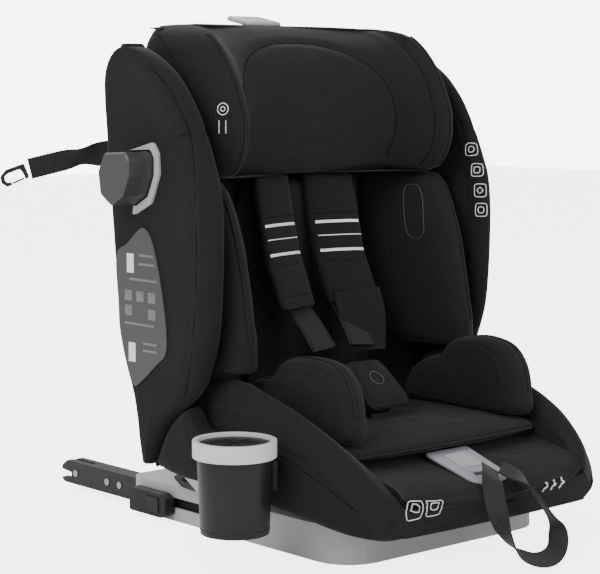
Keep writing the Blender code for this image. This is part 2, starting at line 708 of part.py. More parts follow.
def make_backrest():
    pivot = joint_empty("recline_axis", (0, PIVOT_Y, PIVOT_Z))
    pieces = [make_back_shell(), make_track()]
    for side_name, side in SIDES:
        low, high = sided(side, WING_INNER, WING_OUTER)
        wing = plate("wing_" + side_name, wing_outline(), "X", low, high, FABRIC, edge=0.004)
        pocket_low, pocket_high = sided(side, WING_INNER + 0.003, WING_OUTER + 0.01)
        pocket = [tuple(p) for p in side_pad_outline(SIDE_PAD_GAP)]
        cut(wing, plate("side_pad_pocket_" + side_name, pocket, "X", pocket_low, pocket_high, None, group=CUTTERS))
        low, high = sided(side, WING_OUTER + GAP, WING_OUTER + 0.0035)
        trim = plate("side_pad_trim_" + side_name, trim_outline(), "X", low, high, LIGHT_GREY)
        inner = WING_OUTER - 0.001
        low, high = sided(side, inner, SIDE_PAD_OUT)
        pad = plate("side_pad_" + side_name, [tuple(p) for p in side_pad_outline()], "X", low, high, MID_GREY, edge=0.002)
        slide = joint_empty("side_pad_slide_" + side_name, (side * inner, lean_y(0.0425, BACK_HEIGHT - 0.151), BACK_HEIGHT - 0.151))
        hang(slide, pad)
        low, high = sided(side, BRACKET_INNER, BRACKET_OUTER)
        bracket = plate("pivot_bracket_" + side_name, bracket_outline(), "X", low, high, STEEL)
        cut(bracket, rod("bracket_bore_" + side_name, 0.0062, (side * (BRACKET_INNER - 0.005), PIVOT_Y, PIVOT_Z),
                         (side * (BRACKET_OUTER + 0.005), PIVOT_Y, PIVOT_Z), None, 16, CUTTERS))
        bolster = loft("backrest_bolster_" + side_name, back_bolster_rings(side), FABRIC)
        strap = make_shoulder_strap(side_name, side)
        pieces += [wing, trim, bracket, bolster, strap]
    outline = filleted(leaning([(BACK_CUSHION_FRONT, 0.165, 0.01), (BACK_CUSHION_REAR, 0.160, 0.004),
                                (BACK_CUSHION_REAR, HEADREST_LOW - 0.004, 0.004),
                                (BACK_CUSHION_FRONT, HEADREST_LOW - 0.004, 0.01)]), 2)
    cushion = plate("backrest_cushion", outline, "X", -0.1285, 0.1285, FABRIC)
    outline = filleted(leaning([(0.044, 0.185, 0.005), (BACK_CUSHION_FRONT - 0.0007, 0.180, 0.003),
                                (BACK_CUSHION_FRONT - 0.0007, HEADREST_LOW - 0.006, 0.003),
                                (0.044, HEADREST_LOW - 0.006, 0.005)]), 2)
    insert = plate("insert_back_cushion", outline, "X", -0.098, 0.098, FABRIC)
    pieces += [cushion, insert] + make_tether()
    hang(pivot, *pieces)


def shell_section(z, low_offset, high_offset, half, count=6):
    """A bowed cross-section of the back shell, further back at its middle."""
    bow = 0.012
    ring = []
    for k in range(count + 1):
        x = -half + 2 * half * k / count
        drop = bow * (x / half) ** 2
        ring.append((x, lean_y(low_offset - drop, z), z))
    for k in range(count + 1):
        x = half - 2 * half * k / count
        drop = bow * (x / half) ** 2
        ring.append((x, lean_y(high_offset - drop, z), z))
    return ring


def make_back_shell():
    half = BOLSTER_OUTER - 0.0005
    front = 0.1105
    rear = front + BACK_SHELL_THICK
    top = BACK_HEIGHT - 0.006
    rings = [shell_section(z, front, rear, half) for z in (BACK_SHELL_LOW, 0.30, top - 0.01)]
    rings.append(shell_section(top, front + 0.004, rear - 0.004, half - 0.012))
    shell = loft("backrest_shell", rings, BLACK_PLASTIC)
    return shell


def make_track():
    """Plate that guides the headrest's carriage between two ribs, in front of the shell."""
    low, high = 0.255, BACK_HEIGHT - 0.012
    front, rear = CARRIAGE_FRONT + CARRIAGE_THICK + RUNNING_GAP, 0.1025
    outline = [p[:2] for p in leaning([(front, low, 0), (rear, low, 0), (rear, high, 0), (front, high, 0)])]
    track = plate("headrest_track", outline, "X", -0.085, 0.085, BLACK_PLASTIC)
    for side_name, side in SIDES:
        rib_low, rib_high = sided(side, CARRIAGE_HALF_WIDTH + RUNNING_GAP, CARRIAGE_HALF_WIDTH + RUNNING_GAP + TRACK_RIB)
        outline = [p[:2] for p in leaning([(front - 0.005, low, 0), (front + 0.002, low, 0), (front + 0.002, high, 0),
                                           (front - 0.005, high, 0)])]
        join(track, plate("track_rib_" + side_name, outline, "X", rib_low, rib_high, None, group=CUTTERS))
    return track


def bracket_outline():
    """Side plate from the back shell forward to the recline pivot."""
    reach = 0.020
    return filleted([(PIVOT_Y - reach, PIVOT_Z - reach + 0.002, 0.018), (PIVOT_Y + 0.03, PIVOT_Z - reach + 0.002, 0.03),
                     (lean_y(0.072, 0.098), 0.090, 0.02), (lean_y(0.104, 0.110), 0.110, 0.006),
                     (lean_y(0.108, 0.210), 0.210, 0.01), (lean_y(0.090, 0.210), 0.210, 0.01),
                     (0.060, 0.130, 0.04), (PIVOT_Y - reach, PIVOT_Z + reach, 0.018)], 3)


def back_bolster_rings(side):
    """Sections of the backrest's soft side bolster, from its foot to the headrest."""
    high = HEADREST_LOW - 0.004
    low = BACK_BOLSTER_LOW
    #  share of the height, ridge offset
    sections = ((0.0, -0.070), (0.08, -0.080), (0.25, -0.081), (0.45, -0.073), (0.65, -0.062), (0.85, -0.046),
                (1.0, -0.030))
    inner, outer = 0.1295, BOLSTER_OUTER - 0.0005
    rings = []
    for share, ridge in sections:
        z = low + share * (high - low)
        rear = 0.0965
        ring = [(inner, lean_y(rear, z), z), (inner, lean_y(0.040, z), z), (0.150, lean_y(ridge + 0.035, z), z),
                (0.164, lean_y(ridge + 0.006, z), z), (0.176, lean_y(ridge, z), z), (0.188, lean_y(ridge + 0.008, z), z),
                (outer, lean_y(ridge + 0.022, z), z), (outer, lean_y(rear, z), z)]
        rings.append([(side * x, y, zz) for x, y, zz in ring])
    return rings


def make_shoulder_strap(side_name, side):
    x_low = 0.030
    route = ((side * x_low, -0.006, 0.206), (side * 0.034, 0.018, 0.236), (side * 0.040, lean_y(0.0385, 0.290), 0.290),
             (side * PAD_SPACING, lean_y(0.0415, 0.350), 0.350), (side * PAD_SPACING, lean_y(0.0415, HEADREST_LOW - 0.008), HEADREST_LOW - 0.008))
    return band("shoulder_strap_" + side_name, route, SHOULDER_STRAP, STRAP_THICK, lambda i: (1, 0, 0), WEBBING)


def make_tether():
    """Top tether: webbing from the back shell to a hook with a sprung gate."""
    start = lean_y(0.127, 0.43)
    route = ((-0.040, start, 0.432), (-0.080, start + 0.012, 0.436), (-0.130, 0.226, 0.432), (-0.164, 0.250, 0.430),
             (-0.203, 0.2700, 0.4230), (-0.2409, 0.2896, 0.4130))
    strap = band("tether_strap", route, 0.025, 0.0022, lambda i: (0, 0, 1), WEBBING)
    hook = plate("tether_hook", filleted(hook_plate(), 2), "Z", -0.0016, 0.0016, STEEL)
    gate = plate("tether_gate", filleted([(-0.0230, -0.0088, 0.0007), (-0.0230, -0.0068, 0.0007),
                                          (-0.0070, -0.0068, 0.0007), (-0.0070, -0.0088, 0.0007)], 1),
                 "Z", -0.0012, 0.0012, STEEL)
    for piece in (hook, gate):
        piece.location = TETHER_EYE
        piece.rotation_euler = TETHER_TURN.to_euler()
    axis = joint_empty("tether_gate_axis", TETHER_EYE + TETHER_TURN @ Vector((-0.0080, -0.0078, 0)))
    hang(axis, gate)
    return [strap, hook]


TETHER_EYE = Vector((-0.2434, 0.2909, 0.4115))
# The hook hangs in an upright plane that holds the strap's line, its tip dropped.
TETHER_TURN = (Matrix.Rotation(math.radians(-28), 3, "Z") @ Matrix.Rotation(math.radians(90), 3, "X")
               @ Matrix.Rotation(math.radians(22), 3, "Z"))


def hook_plate():
    """A flat snap hook in its own plane, its webbing eye at the origin."""
    return [(-0.001, -0.009, 0.002), (-0.001, 0.009, 0.002), (-0.024, 0.010, 0.006), (-0.033, 0.005, 0.005),
            (-0.0345, -0.003, 0.004), (-0.030, -0.0095, 0.002), (-0.0236, -0.0095, 0.0004), (-0.0236, -0.006, 0.0004),
            (-0.028, -0.005, 0.001), (-0.0295, -0.001, 0.002), (-0.028, 0.0035, 0.002), (-0.023, 0.005, 0.002),
            (-0.0075, 0.0045, 0.001), (-0.006, -0.0045, 0), (-0.006, -0.009, 0.0005)]


# ---------------------------------------------------------------- headrest


def headrest_wing_rings(side):
    """Sections of a headrest wing, from its lower edge up."""
    low = HEADREST_LOW
    #  height over the lower edge, front Y
    sections = ((0.0, 0.010), (0.012, -0.004), (0.030, -0.016), (0.055, HEADREST_DEEPEST), (0.085, -0.016), (0.115, 0.002),
                (0.145, 0.024), (0.165, 0.042), (0.178, 0.062))
    outer = HEADREST_HALF_WIDTH
    rings = []
    for rise, front in sections:
        z = low + rise
        shift = math.tan(LEAN) * (BACK_HEIGHT - 0.560)
        rear = lean_y(0.0710, z)
        yf = front + shift
        ring = [(0.1195, rear, z), (0.1195, min(0.060 + shift, rear - 0.02), z), (0.136, yf + 0.034, z),
                (0.149, yf + 0.006, z), (0.160, yf, z), (0.173, yf + 0.010, z), (outer - 0.002, yf + 0.036, z),
                (outer, rear - 0.006, z), (outer - 0.003, rear, z)]
        rings.append([(side * x, y, zz) for x, y, zz in ring])
    return rings


def make_headrest():
    low, top = HEADREST_LOW, HEADREST_TOP
    slide = joint_empty("headrest_slide", (0, lean_y(0.09, low), low))
    pieces = []
    for side_name, side in SIDES:
        pieces.append(loft("headrest_wing_" + side_name, headrest_wing_rings(side), FABRIC))
        pieces.append(make_shoulder_pad(side_name, side))
    cap = top - 0.022
    cap_rear = 0.118
    outline = filleted(leaning([(0.0715, low + 0.004, 0.003), (0.0865, low + 0.004, 0.003), (0.0865, cap - 0.001, 0)])
                       + [(lean_y(cap_rear - 0.002, cap), cap - 0.001, 0.003), (lean_y(cap_rear, cap), top - 0.004, 0.006),
                          (lean_y(0.0715, top), top - 0.001, 0.003)], 2)
    shell = plate("headrest_shell", outline, "X", -0.166, 0.166, FABRIC, edge=0.002)
    shift = math.tan(LEAN) * (BACK_HEIGHT - 0.560)
    outline = filleted([(0.060 + shift, low + 0.002, 0.008), (0.055 + shift, low + 0.06, 0.03), (0.060 + shift, top - 0.02, 0.02),
                        (0.075 + shift, top - 0.004, 0.01), (lean_y(0.0710, top), top - 0.003, 0.002),
                        (lean_y(0.0710, low), low + 0.001, 0.004)], 3)
    cushion = plate("headrest_cushion", outline, "X", -0.1188, 0.1188, FABRIC)
    z_low, z_high = low - 0.150, low + 0.145
    outline = [p[:2] for p in leaning([(CARRIAGE_FRONT, z_low, 0), (CARRIAGE_FRONT + CARRIAGE_THICK, z_low, 0),
                                       (CARRIAGE_FRONT + CARRIAGE_THICK, z_high, 0), (CARRIAGE_FRONT, z_high, 0)])]
    carriage = plate("headrest_carriage", outline, "X", -CARRIAGE_HALF_WIDTH, CARRIAGE_HALF_WIDTH, BLACK_PLASTIC)
    hang(slide, shell, cushion, carriage, *pieces)
    lever_z = top + 0.0005
    rear = lean_y(cap_rear, cap)
    outline = filleted([(rear - 0.030, lever_z, 0), (rear - 0.003, lever_z - 0.002, 0), (rear + 0.004, lever_z + 0.001, 0.001),
                        (rear + 0.002, lever_z + 0.006, 0.002), (rear - 0.024, lever_z + 0.0065, 0.003)], 2)
    outline = [(y, max(z, lever_z)) for y, z in outline]
    lever = plate("headrest_lever", outline, "X", -0.033, 0.033, LIGHT_GREY)
    hinge = joint_empty("headrest_lever_axis", (0, rear - 0.028, lever_z + 0.001))
    hang(hinge, lever)


def make_shoulder_pad(side_name, side):
    """Padded sleeve on a shoulder strap, hanging from under the headrest."""
    low = HEADREST_LOW
    shift = math.tan(LEAN) * (BACK_HEIGHT - 0.560)
    #  drop under the headrest, offset in front of the leaning line
    stations = ((0.004, 0.031), (0.045, 0.027), (0.095, 0.019), (0.130, 0.007), (0.152, -0.002))
    yaw = math.radians(14) * -side
    wide = Vector((math.cos(yaw), math.sin(yaw), 0)) * PAD_WIDTH / 2
    rings = []
    for drop, offset in stations:
        z = low - drop
        centre = Vector((side * PAD_SPACING, lean_y(offset, z), z))
        thick = Vector((0, PAD_THICK / 2, 0.002))
        half = thick * 0.45
        rings.append([tuple(centre - wide - half), tuple(centre - wide * 0.8 - thick), tuple(centre + wide * 0.8 - thick),
                      tuple(centre + wide - half), tuple(centre + wide + half), tuple(centre + wide * 0.8 + thick * 0.6),
                      tuple(centre - wide * 0.8 + thick * 0.6), tuple(centre - wide + half)])
    return loft("shoulder_pad_" + side_name, rings, FABRIC)


# ---------------------------------------------------------------- build

clear_scene()
PARTS = new_collection("convertible_car_seat")
CUTTERS = new_collection("cutters")

FABRIC = new_material("black_fabric", (0.020, 0.020, 0.023), 0.90)
WEBBING = new_material("black_webbing", (0.018, 0.017, 0.017), 0.55)
BLACK_PLASTIC = new_material("black_plastic", (0.030, 0.029, 0.028), 0.45)
GREY = new_material("grey_plastic", (0.38, 0.38, 0.41), 0.50)
LIGHT_GREY = new_material("light_grey_plastic", (0.52, 0.52, 0.54), 0.45)
MID_GREY = new_material("mid_grey_plastic", (0.095, 0.092, 0.086), 0.50)
SILVER = new_material("silver_plastic", (0.50, 0.50, 0.53), 0.35)
STEEL = new_material("zinc_steel", (0.45, 0.44, 0.43), 0.35, 1.0)
DARK_STEEL = new_material("coated_steel", (0.045, 0.040, 0.036), 0.45, 0.6)
RED = new_material("red_plastic", (0.45, 0.02, 0.02), 0.45)

make_base_tray()
make_isofix()
make_seat_shell()
make_seat_cushion()
make_seat_sides()
make_insert()
make_buckle()
make_adjuster()
make_cup_holder()
make_backrest()
make_headrest()
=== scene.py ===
# %% [markdown]
# # A convertible child car seat
# The seat stands on a light grey base. A reclining backrest with two padded side wings
# carries a headrest that slides up and down. Anchor arms reach back from the base, and a
# harness, a small-child insert and a cup holder finish it. The frame below is the rigid
# model with its joints: every piece made here rides on one of its bodies.

# %% Load the rigid frame
import math

import bmesh
import bpy
import numpy as np
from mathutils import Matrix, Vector, noise
from mathutils.bvhtree import BVHTree


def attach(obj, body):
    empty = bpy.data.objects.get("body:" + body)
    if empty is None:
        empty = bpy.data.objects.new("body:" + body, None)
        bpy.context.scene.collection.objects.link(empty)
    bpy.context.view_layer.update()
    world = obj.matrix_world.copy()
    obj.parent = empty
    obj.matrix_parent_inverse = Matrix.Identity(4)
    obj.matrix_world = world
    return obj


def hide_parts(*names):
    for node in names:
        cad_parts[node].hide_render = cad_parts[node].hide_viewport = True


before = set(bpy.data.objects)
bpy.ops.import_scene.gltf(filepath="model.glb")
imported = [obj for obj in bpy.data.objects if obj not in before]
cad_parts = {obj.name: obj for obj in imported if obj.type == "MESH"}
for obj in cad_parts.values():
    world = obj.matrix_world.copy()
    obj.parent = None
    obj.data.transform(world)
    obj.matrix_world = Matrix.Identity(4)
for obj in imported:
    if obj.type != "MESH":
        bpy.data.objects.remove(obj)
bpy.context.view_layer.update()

# %% [markdown]
# The camera comes first, because the cover's detail is judged through it. It stands low,
# in front of the seat, on the side that is named left here. Its lens is long, which keeps
# the far wing nearly as tall as the near one.

# %% Camera
lens = bpy.data.cameras.new("catalogue_lens")
lens.lens = 112.6
lens.sensor_width = 36.0
lens.clip_start = 0.05
lens.clip_end = 60.0
camera = bpy.data.objects.new("catalogue_camera", lens)
bpy.context.scene.collection.objects.link(camera)
camera.location = (-1.488, -1.619, 0.518)
camera.rotation_euler = (math.radians(90 - 6.27), 0.0, math.radians(-41.35))
bpy.context.scene.camera = camera
print("camera", round(camera.location.length, 2), "m from the base's middle")

# %% [markdown]
# A flat white floor in front of a plain white wall of light, and large soft lights: one key from the
# upper left front, a weaker one from the right, and one from above and behind to draw a
# thin rim along the top edges. Black cloth needs large lights, or its folds vanish.

# %% Floor and lights
def plain_shader(name, colour, roughness):
    material = bpy.data.materials.new(name)
    material.use_nodes = True
    shader = material.node_tree.nodes["Principled BSDF"]
    shader.inputs["Base Color"].default_value = (*colour, 1)
    shader.inputs["Roughness"].default_value = roughness
    return material


bpy.ops.object.select_all(action="DESELECT")
bpy.ops.mesh.primitive_plane_add(size=14.0, location=(0, 0, 0))
floor = bpy.context.object
floor.name = "studio_floor"
floor.data.materials.append(plain_shader("studio_white", (0.93, 0.93, 0.93), 0.7))
floor_tree = floor.data.materials[0].node_tree
glow = floor_tree.nodes["Principled BSDF"]
glow.inputs["Emission Color"].default_value = (1.0, 1.0, 1.0, 1)
floor_sight = floor_tree.nodes.new("ShaderNodeLightPath")
floor_level = floor_tree.nodes.new("ShaderNodeMapRange")
floor_level.inputs["To Min"].default_value = 0.15
floor_level.inputs["To Max"].default_value = 4.0
floor_tree.links.new(floor_sight.outputs["Is Camera Ray"], floor_level.inputs["Value"])
floor_tree.links.new(floor_level.outputs["Result"], glow.inputs["Emission Strength"])

world = bpy.data.worlds.new("studio_air")
world.use_nodes = True
world.node_tree.nodes["Background"].inputs["Color"].default_value = (1.0, 1.0, 1.0, 1)
world.node_tree.nodes["Background"].inputs["Strength"].default_value = 1.25
# The wall behind is lit by lamps of its own, brighter than the air round the seat.
sight = world.node_tree.nodes.new("ShaderNodeLightPath")
level = world.node_tree.nodes.new("ShaderNodeMapRange")
level.inputs["To Min"].default_value = 0.85
level.inputs["To Max"].default_value = 7.0
world.node_tree.links.new(sight.outputs["Is Camera Ray"], level.inputs["Value"])
world.node_tree.links.new(level.outputs["Result"], world.node_tree.nodes["Background"].inputs["Strength"])
bpy.context.scene.world = world


def softbox(name, place, aim, size, power):
    light = bpy.data.lights.new(name, "AREA")
    light.shape = "RECTANGLE"
    light.size, light.size_y = size
    light.energy = power
    lamp = bpy.data.objects.new(name, light)
    lamp.location = place
    lamp.rotation_euler = (Vector(aim) - Vector(place)).to_track_quat("-Z", "Y").to_euler()
    bpy.context.scene.collection.objects.link(lamp)
    return lamp


softbox("key_light", (-2.2, -0.6, 1.9), (0, 0, 0.30), (1.6, 1.4), 44)
softbox("fill_light", (0.9, -2.6, 1.2), (0, -0.05, 0.25), (1.6, 1.2), 20)
softbox("rim_light", (0.4, 1.7, 2.2), (0, 0.05, 0.40), (2.0, 1.0), 30)
print("three softboxes")

# %% [markdown]
# ## Finishes
# Almost everything is black, so the finishes differ by texture and gloss, not by colour:
# a matt knitted cover, a shinier webbing, grained plastic, and painted or plated metal.
# What several of them share is built once as a node group. `weave` gives the fine knit,
# `cloud` gives the slow change of tone that keeps a large panel from looking painted,
# and `wear` finds edges so that plastic and metal are a little paler there.

# %% Node helpers
def new_group(name, inputs, outputs):
    """An empty shader node group with float inputs (name, default) and float outputs."""
    group = bpy.data.node_groups.new(name, "ShaderNodeTree")
    for label, value in inputs:
        socket = group.interface.new_socket(label, in_out="INPUT", socket_type="NodeSocketFloat")
        socket.default_value = value
    for label in outputs:
        group.interface.new_socket(label, in_out="OUTPUT", socket_type="NodeSocketFloat")
    return group, group.nodes.new("NodeGroupInput"), group.nodes.new("NodeGroupOutput")


def link(tree, source, target):
    tree.links.new(source, target)


def node(tree, kind, **settings):
    made = tree.nodes.new(kind)
    for key, value in settings.items():
        if isinstance(value, (int, float, tuple)) and key in made.inputs:
            made.inputs[key].default_value = value
        else:
            setattr(made, key, value)
    return made


def math_node(tree, operation, first, second=None):
    made = node(tree, "ShaderNodeMath", operation=operation)
    for socket, value in zip(made.inputs, (first, second)):
        if value is None:
            continue
        if isinstance(value, (int, float)):
            socket.default_value = value
        else:
            link(tree, value, socket)
    return made.outputs[0]


# %% [markdown]
# The knit is a grid of tiny rounded bumps. Three wave patterns at right angles are
# multiplied in pairs and added, so the grid shows on a face whichever way it looks,
# with no unwrapping.

# %% Weave, cloud and wear groups
weave, weave_in, weave_out = new_group("weave", [("Pitch", 1.6)], ["Height"])
place = node(weave, "ShaderNodeTexCoord")
waves = []
for direction in ("X", "Y", "Z"):
    wave = node(weave, "ShaderNodeTexWave", bands_direction=direction, wave_profile="SIN")
    wave.inputs["Distortion"].default_value = 0.25
    wave.inputs["Detail"].default_value = 0.0
    link(weave, place.outputs["Object"], wave.inputs["Vector"])
    # One ridge in a wave texture is about 0.314 units long at scale 1.
    scale = math_node(weave, "DIVIDE", 314.0, weave_in.outputs["Pitch"])
    link(weave, scale, wave.inputs["Scale"])
    waves.append(wave.outputs["Fac"])
pairs = [math_node(weave, "MULTIPLY", waves[a], waves[b]) for a, b in ((0, 1), (1, 2), (0, 2))]
total = math_node(weave, "ADD", math_node(weave, "ADD", pairs[0], pairs[1]), pairs[2])
link(weave, math_node(weave, "MULTIPLY", total, 0.5), weave_out.inputs["Height"])

cloud, cloud_in, cloud_out = new_group("cloud", [("Scale", 9.0), ("Detail", 3.0)], ["Value"])
place = node(cloud, "ShaderNodeTexCoord")
speckle = node(cloud, "ShaderNodeTexNoise")
link(cloud, place.outputs["Object"], speckle.inputs["Vector"])
link(cloud, cloud_in.outputs["Scale"], speckle.inputs["Scale"])
link(cloud, cloud_in.outputs["Detail"], speckle.inputs["Detail"])
link(cloud, speckle.outputs["Fac"], cloud_out.inputs["Value"])

wear, wear_in, wear_out = new_group("wear", [("Reach", 0.5), ("Breakup", 60.0)], ["Mask"])
shape = node(wear, "ShaderNodeNewGeometry")
place = node(wear, "ShaderNodeTexCoord")
speckle = node(wear, "ShaderNodeTexNoise")
link(wear, place.outputs["Object"], speckle.inputs["Vector"])
link(wear, wear_in.outputs["Breakup"], speckle.inputs["Scale"])
edge = math_node(wear, "SUBTRACT", shape.outputs["Pointiness"], 0.5)
edge = math_node(wear, "MULTIPLY", edge, 14.0)
edge = math_node(wear, "MULTIPLY", edge, wear_in.outputs["Reach"])
mask = node(wear, "ShaderNodeMath", operation="MULTIPLY", use_clamp=True)
link(wear, edge, mask.inputs[0])
link(wear, speckle.outputs["Fac"], mask.inputs[1])
link(wear, mask.outputs[0], wear_out.inputs["Mask"])
print("groups:", weave.name, cloud.name, wear.name)


# %% [markdown]
# A finish is a Principled shader fed by those groups. The colour mixes between two close
# tones along `cloud`, roughness wanders a little, and the bump comes from `weave` on
# cloth or from a fine noise on plastic.

# %% Finish makers
def use_group(tree, group, **values):
    made = tree.nodes.new("ShaderNodeGroup")
    made.node_tree = group
    for key, value in values.items():
        made.inputs[key].default_value = value
    return made


def mix_colours(tree, factor, first, second):
    mix = node(tree, "ShaderNodeMix", data_type="RGBA")
    link(tree, factor, mix.inputs[0])
    for socket, value in ((mix.inputs[6], first), (mix.inputs[7], second)):
        if isinstance(value, tuple):
            socket.default_value = (*value, 1)
        else:
            link(tree, value, socket)
    return mix.outputs[2]


def map_range(tree, value, low, high):
    made = node(tree, "ShaderNodeMapRange")
    link(tree, value, made.inputs["Value"])
    made.inputs["To Min"].default_value = low
    made.inputs["To Max"].default_value = high
    return made.outputs["Result"]


def cloth(name, dark, light, pitch=1.6, relief=0.25, sheen=0.25, rough=(0.80, 0.95), folds=0.5):
    material = bpy.data.materials.new(name)
    material.use_nodes = True
    tree = material.node_tree
    shader = tree.nodes["Principled BSDF"]
    slow = use_group(tree, cloud, Scale=7.0, Detail=4.0)
    fine = use_group(tree, weave, Pitch=pitch)
    tone = mix_colours(tree, slow.outputs["Value"], dark, light)
    speckle = map_range(tree, fine.outputs["Height"], 0.0, 0.35)
    thread = tuple(min(1.0, 1.7 * c + 0.004) for c in light)
    link(tree, mix_colours(tree, speckle, tone, thread), shader.inputs["Base Color"])
    link(tree, map_range(tree, slow.outputs["Value"], *rough), shader.inputs["Roughness"])
    shader.inputs["Sheen Weight"].default_value = sheen
    shader.inputs["Sheen Roughness"].default_value = 0.45
    shader.inputs["Specular IOR Level"].default_value = 0.18
    soft = use_group(tree, cloud, Scale=26.0, Detail=2.0)
    crease = node(tree, "ShaderNodeBump", Strength=folds, Distance=0.004)
    link(tree, soft.outputs["Value"], crease.inputs["Height"])
    knit = node(tree, "ShaderNodeBump", Strength=relief, Distance=0.0006)
    link(tree, fine.outputs["Height"], knit.inputs["Height"])
    link(tree, crease.outputs["Normal"], knit.inputs["Normal"])
    link(tree, knit.outputs["Normal"], shader.inputs["Normal"])
    return material


def moulded(name, colour, rough=(0.38, 0.55), grain=0.15, grain_scale=900.0, pale=0.015, metallic=0.0,
            gloss=0.5):
    material = bpy.data.materials.new(name)
    material.use_nodes = True
    tree = material.node_tree
    shader = tree.nodes["Principled BSDF"]
    slow = use_group(tree, cloud, Scale=14.0, Detail=3.0)
    edges = use_group(tree, wear, Reach=0.6, Breakup=70.0)
    shade = tuple(c * 0.86 for c in colour)
    worn = tuple(c + (1 - c) * pale for c in colour)
    tone = mix_colours(tree, slow.outputs["Value"], shade, colour)
    link(tree, mix_colours(tree, edges.outputs["Mask"], tone, worn), shader.inputs["Base Color"])
    link(tree, map_range(tree, slow.outputs["Value"], *rough), shader.inputs["Roughness"])
    shader.inputs["Metallic"].default_value = metallic
    shader.inputs["Specular IOR Level"].default_value = gloss
    speck = node(tree, "ShaderNodeTexNoise", Scale=grain_scale, Detail=1.0)
    place = node(tree, "ShaderNodeTexCoord")
    link(tree, place.outputs["Object"], speck.inputs["Vector"])
    relief = node(tree, "ShaderNodeBump", Strength=grain, Distance=0.0004)
    link(tree, speck.outputs["Fac"], relief.inputs["Height"])
    link(tree, relief.outputs["Normal"], shader.inputs["Normal"])
    return material


# %% [markdown]
# The cover's black is not quite black: the real dye is a dark blue-grey that reads as
# black beside the white of the room. The webbing is browner and glossier.

# %% The seat's finishes
COVER = cloth("black_cover", (0.0068, 0.0068, 0.0078), (0.0112, 0.0112, 0.0128), sheen=0.06)
PANEL = cloth("side_cover", (0.0060, 0.0060, 0.0068), (0.0095, 0.0095, 0.0108), pitch=1.2, folds=0.25,
              sheen=0.06)
INSERT = cloth("insert_cover", (0.0066, 0.0066, 0.0076), (0.0108, 0.0108, 0.0122), pitch=1.4, folds=0.6,
               sheen=0.06)
PAD_COVER = cloth("pad_cover", (0.0066, 0.0066, 0.0074), (0.0105, 0.0105, 0.0118), pitch=1.0, folds=0.4,
                  sheen=0.08)
PIPING = cloth("piping", (0.007, 0.007, 0.008), (0.012, 0.012, 0.014), pitch=0.8, folds=0.1, sheen=0.1)
# The seam cords' near-black is painted shade: it stands for the shadow in each seam's groove.
PAINTED_SEAM_SHADE = cloth("seam_shadow", (0.002, 0.002, 0.002), (0.004, 0.004, 0.004), pitch=0.8, folds=0.0, sheen=0.0)
WEBBING = cloth("webbing", (0.012, 0.011, 0.010), (0.020, 0.018, 0.017), pitch=1.5, relief=0.5, sheen=0.1,
                rough=(0.38, 0.55), folds=0.1)
REFLECTIVE = moulded("reflective_tape", (0.86, 0.87, 0.88), rough=(0.30, 0.40), grain=0.05)
PRINT = moulded("white_print", (0.75, 0.76, 0.78), rough=(0.45, 0.55), grain=0.05)
EMBOSS = moulded("raised_rubber", (0.035, 0.036, 0.038), rough=(0.35, 0.50), grain=0.05)
BASE_GREY = moulded("base_grey", (0.42, 0.42, 0.44), rough=(0.42, 0.55))
COLLAR_GREY = moulded("collar_grey", (0.60, 0.60, 0.63), rough=(0.32, 0.44))
TRIM_GREY = moulded("trim_grey", (0.42, 0.42, 0.45), rough=(0.35, 0.48))
PAD_GREY = moulded("side_pad_grey", (0.038, 0.037, 0.034), rough=(0.36, 0.50))
BLACK_SHELL = moulded("black_shell", (0.009, 0.009, 0.010), rough=(0.40, 0.55), gloss=0.25)
CUP_BLACK = moulded("cup_black", (0.010, 0.009, 0.008), rough=(0.30, 0.42), grain=0.08, gloss=0.28)
SILVER = moulded("silver_surround", (0.36, 0.36, 0.39), rough=(0.26, 0.36), grain=0.05)
ZINC = moulded("zinc_plate", (0.42, 0.41, 0.40), rough=(0.28, 0.42), grain=0.1, metallic=1.0)
ARM_STEEL = moulded("coated_steel", (0.0075, 0.0065, 0.0055), rough=(0.38, 0.52), grain=0.2, pale=0.03,
                    gloss=0.25)
RED = moulded("buckle_red", (0.42, 0.02, 0.02), rough=(0.30, 0.42), grain=0.05)
LABEL = moulded("label_film", (0.038, 0.040, 0.040), rough=(0.30, 0.42), grain=0.03)
LABEL_PALE = moulded("label_print", (0.12, 0.125, 0.125), rough=(0.35, 0.45), grain=0.03)
print(len([m for m in bpy.data.materials if m.use_nodes]), "finishes")


# %% [markdown]
# The frame's own rigid parts keep their shape and get these finishes.

# %% Dress the rigid parts
def dress(name, material):
    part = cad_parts[name]
    part.data.materials.clear()
    part.data.materials.append(material)
    return part


for name in ("isofix_cross_tube", "pivot_pin_left", "pivot_pin_right", "pivot_bracket_left",
             "pivot_bracket_right",
             "harness_tongue", "isofix_hook_left", "isofix_hook_right"):
    dress(name, ZINC)
for name in ("seat_shell", "backrest_shell", "headrest_track", "headrest_carriage", "cup_holder_bracket",
             "buckle",
             "isofix_button_left", "isofix_button_right"):
    dress(name, BLACK_SHELL)
for name in ("tether_hook", "tether_gate", "isofix_arm_left", "isofix_arm_right"):
    dress(name, ARM_STEEL)
dress("buckle_button", RED)
dress("adjuster_button", TRIM_GREY)
dress("adjuster_plate", SILVER)
for name in ("side_pad_left", "side_pad_right"):
    dress(name, PAD_GREY)
for name in ("side_pad_trim_left", "side_pad_trim_right"):
    dress(name, TRIM_GREY)
for name in ("isofix_knob_left", "isofix_knob_right"):
    dress(name, BLACK_SHELL)
dress("base_tray", BASE_GREY)
print("rigid parts dressed")


# %% [markdown]
# ## Tools for padded pieces
# A padded piece starts as a skin stretched over a few sections that are drawn like ribs.
# A smooth curve is run through the ribs both ways, so the skin passes through every
# point that is given. The ends are closed by shrinking the last rib in a quarter circle.

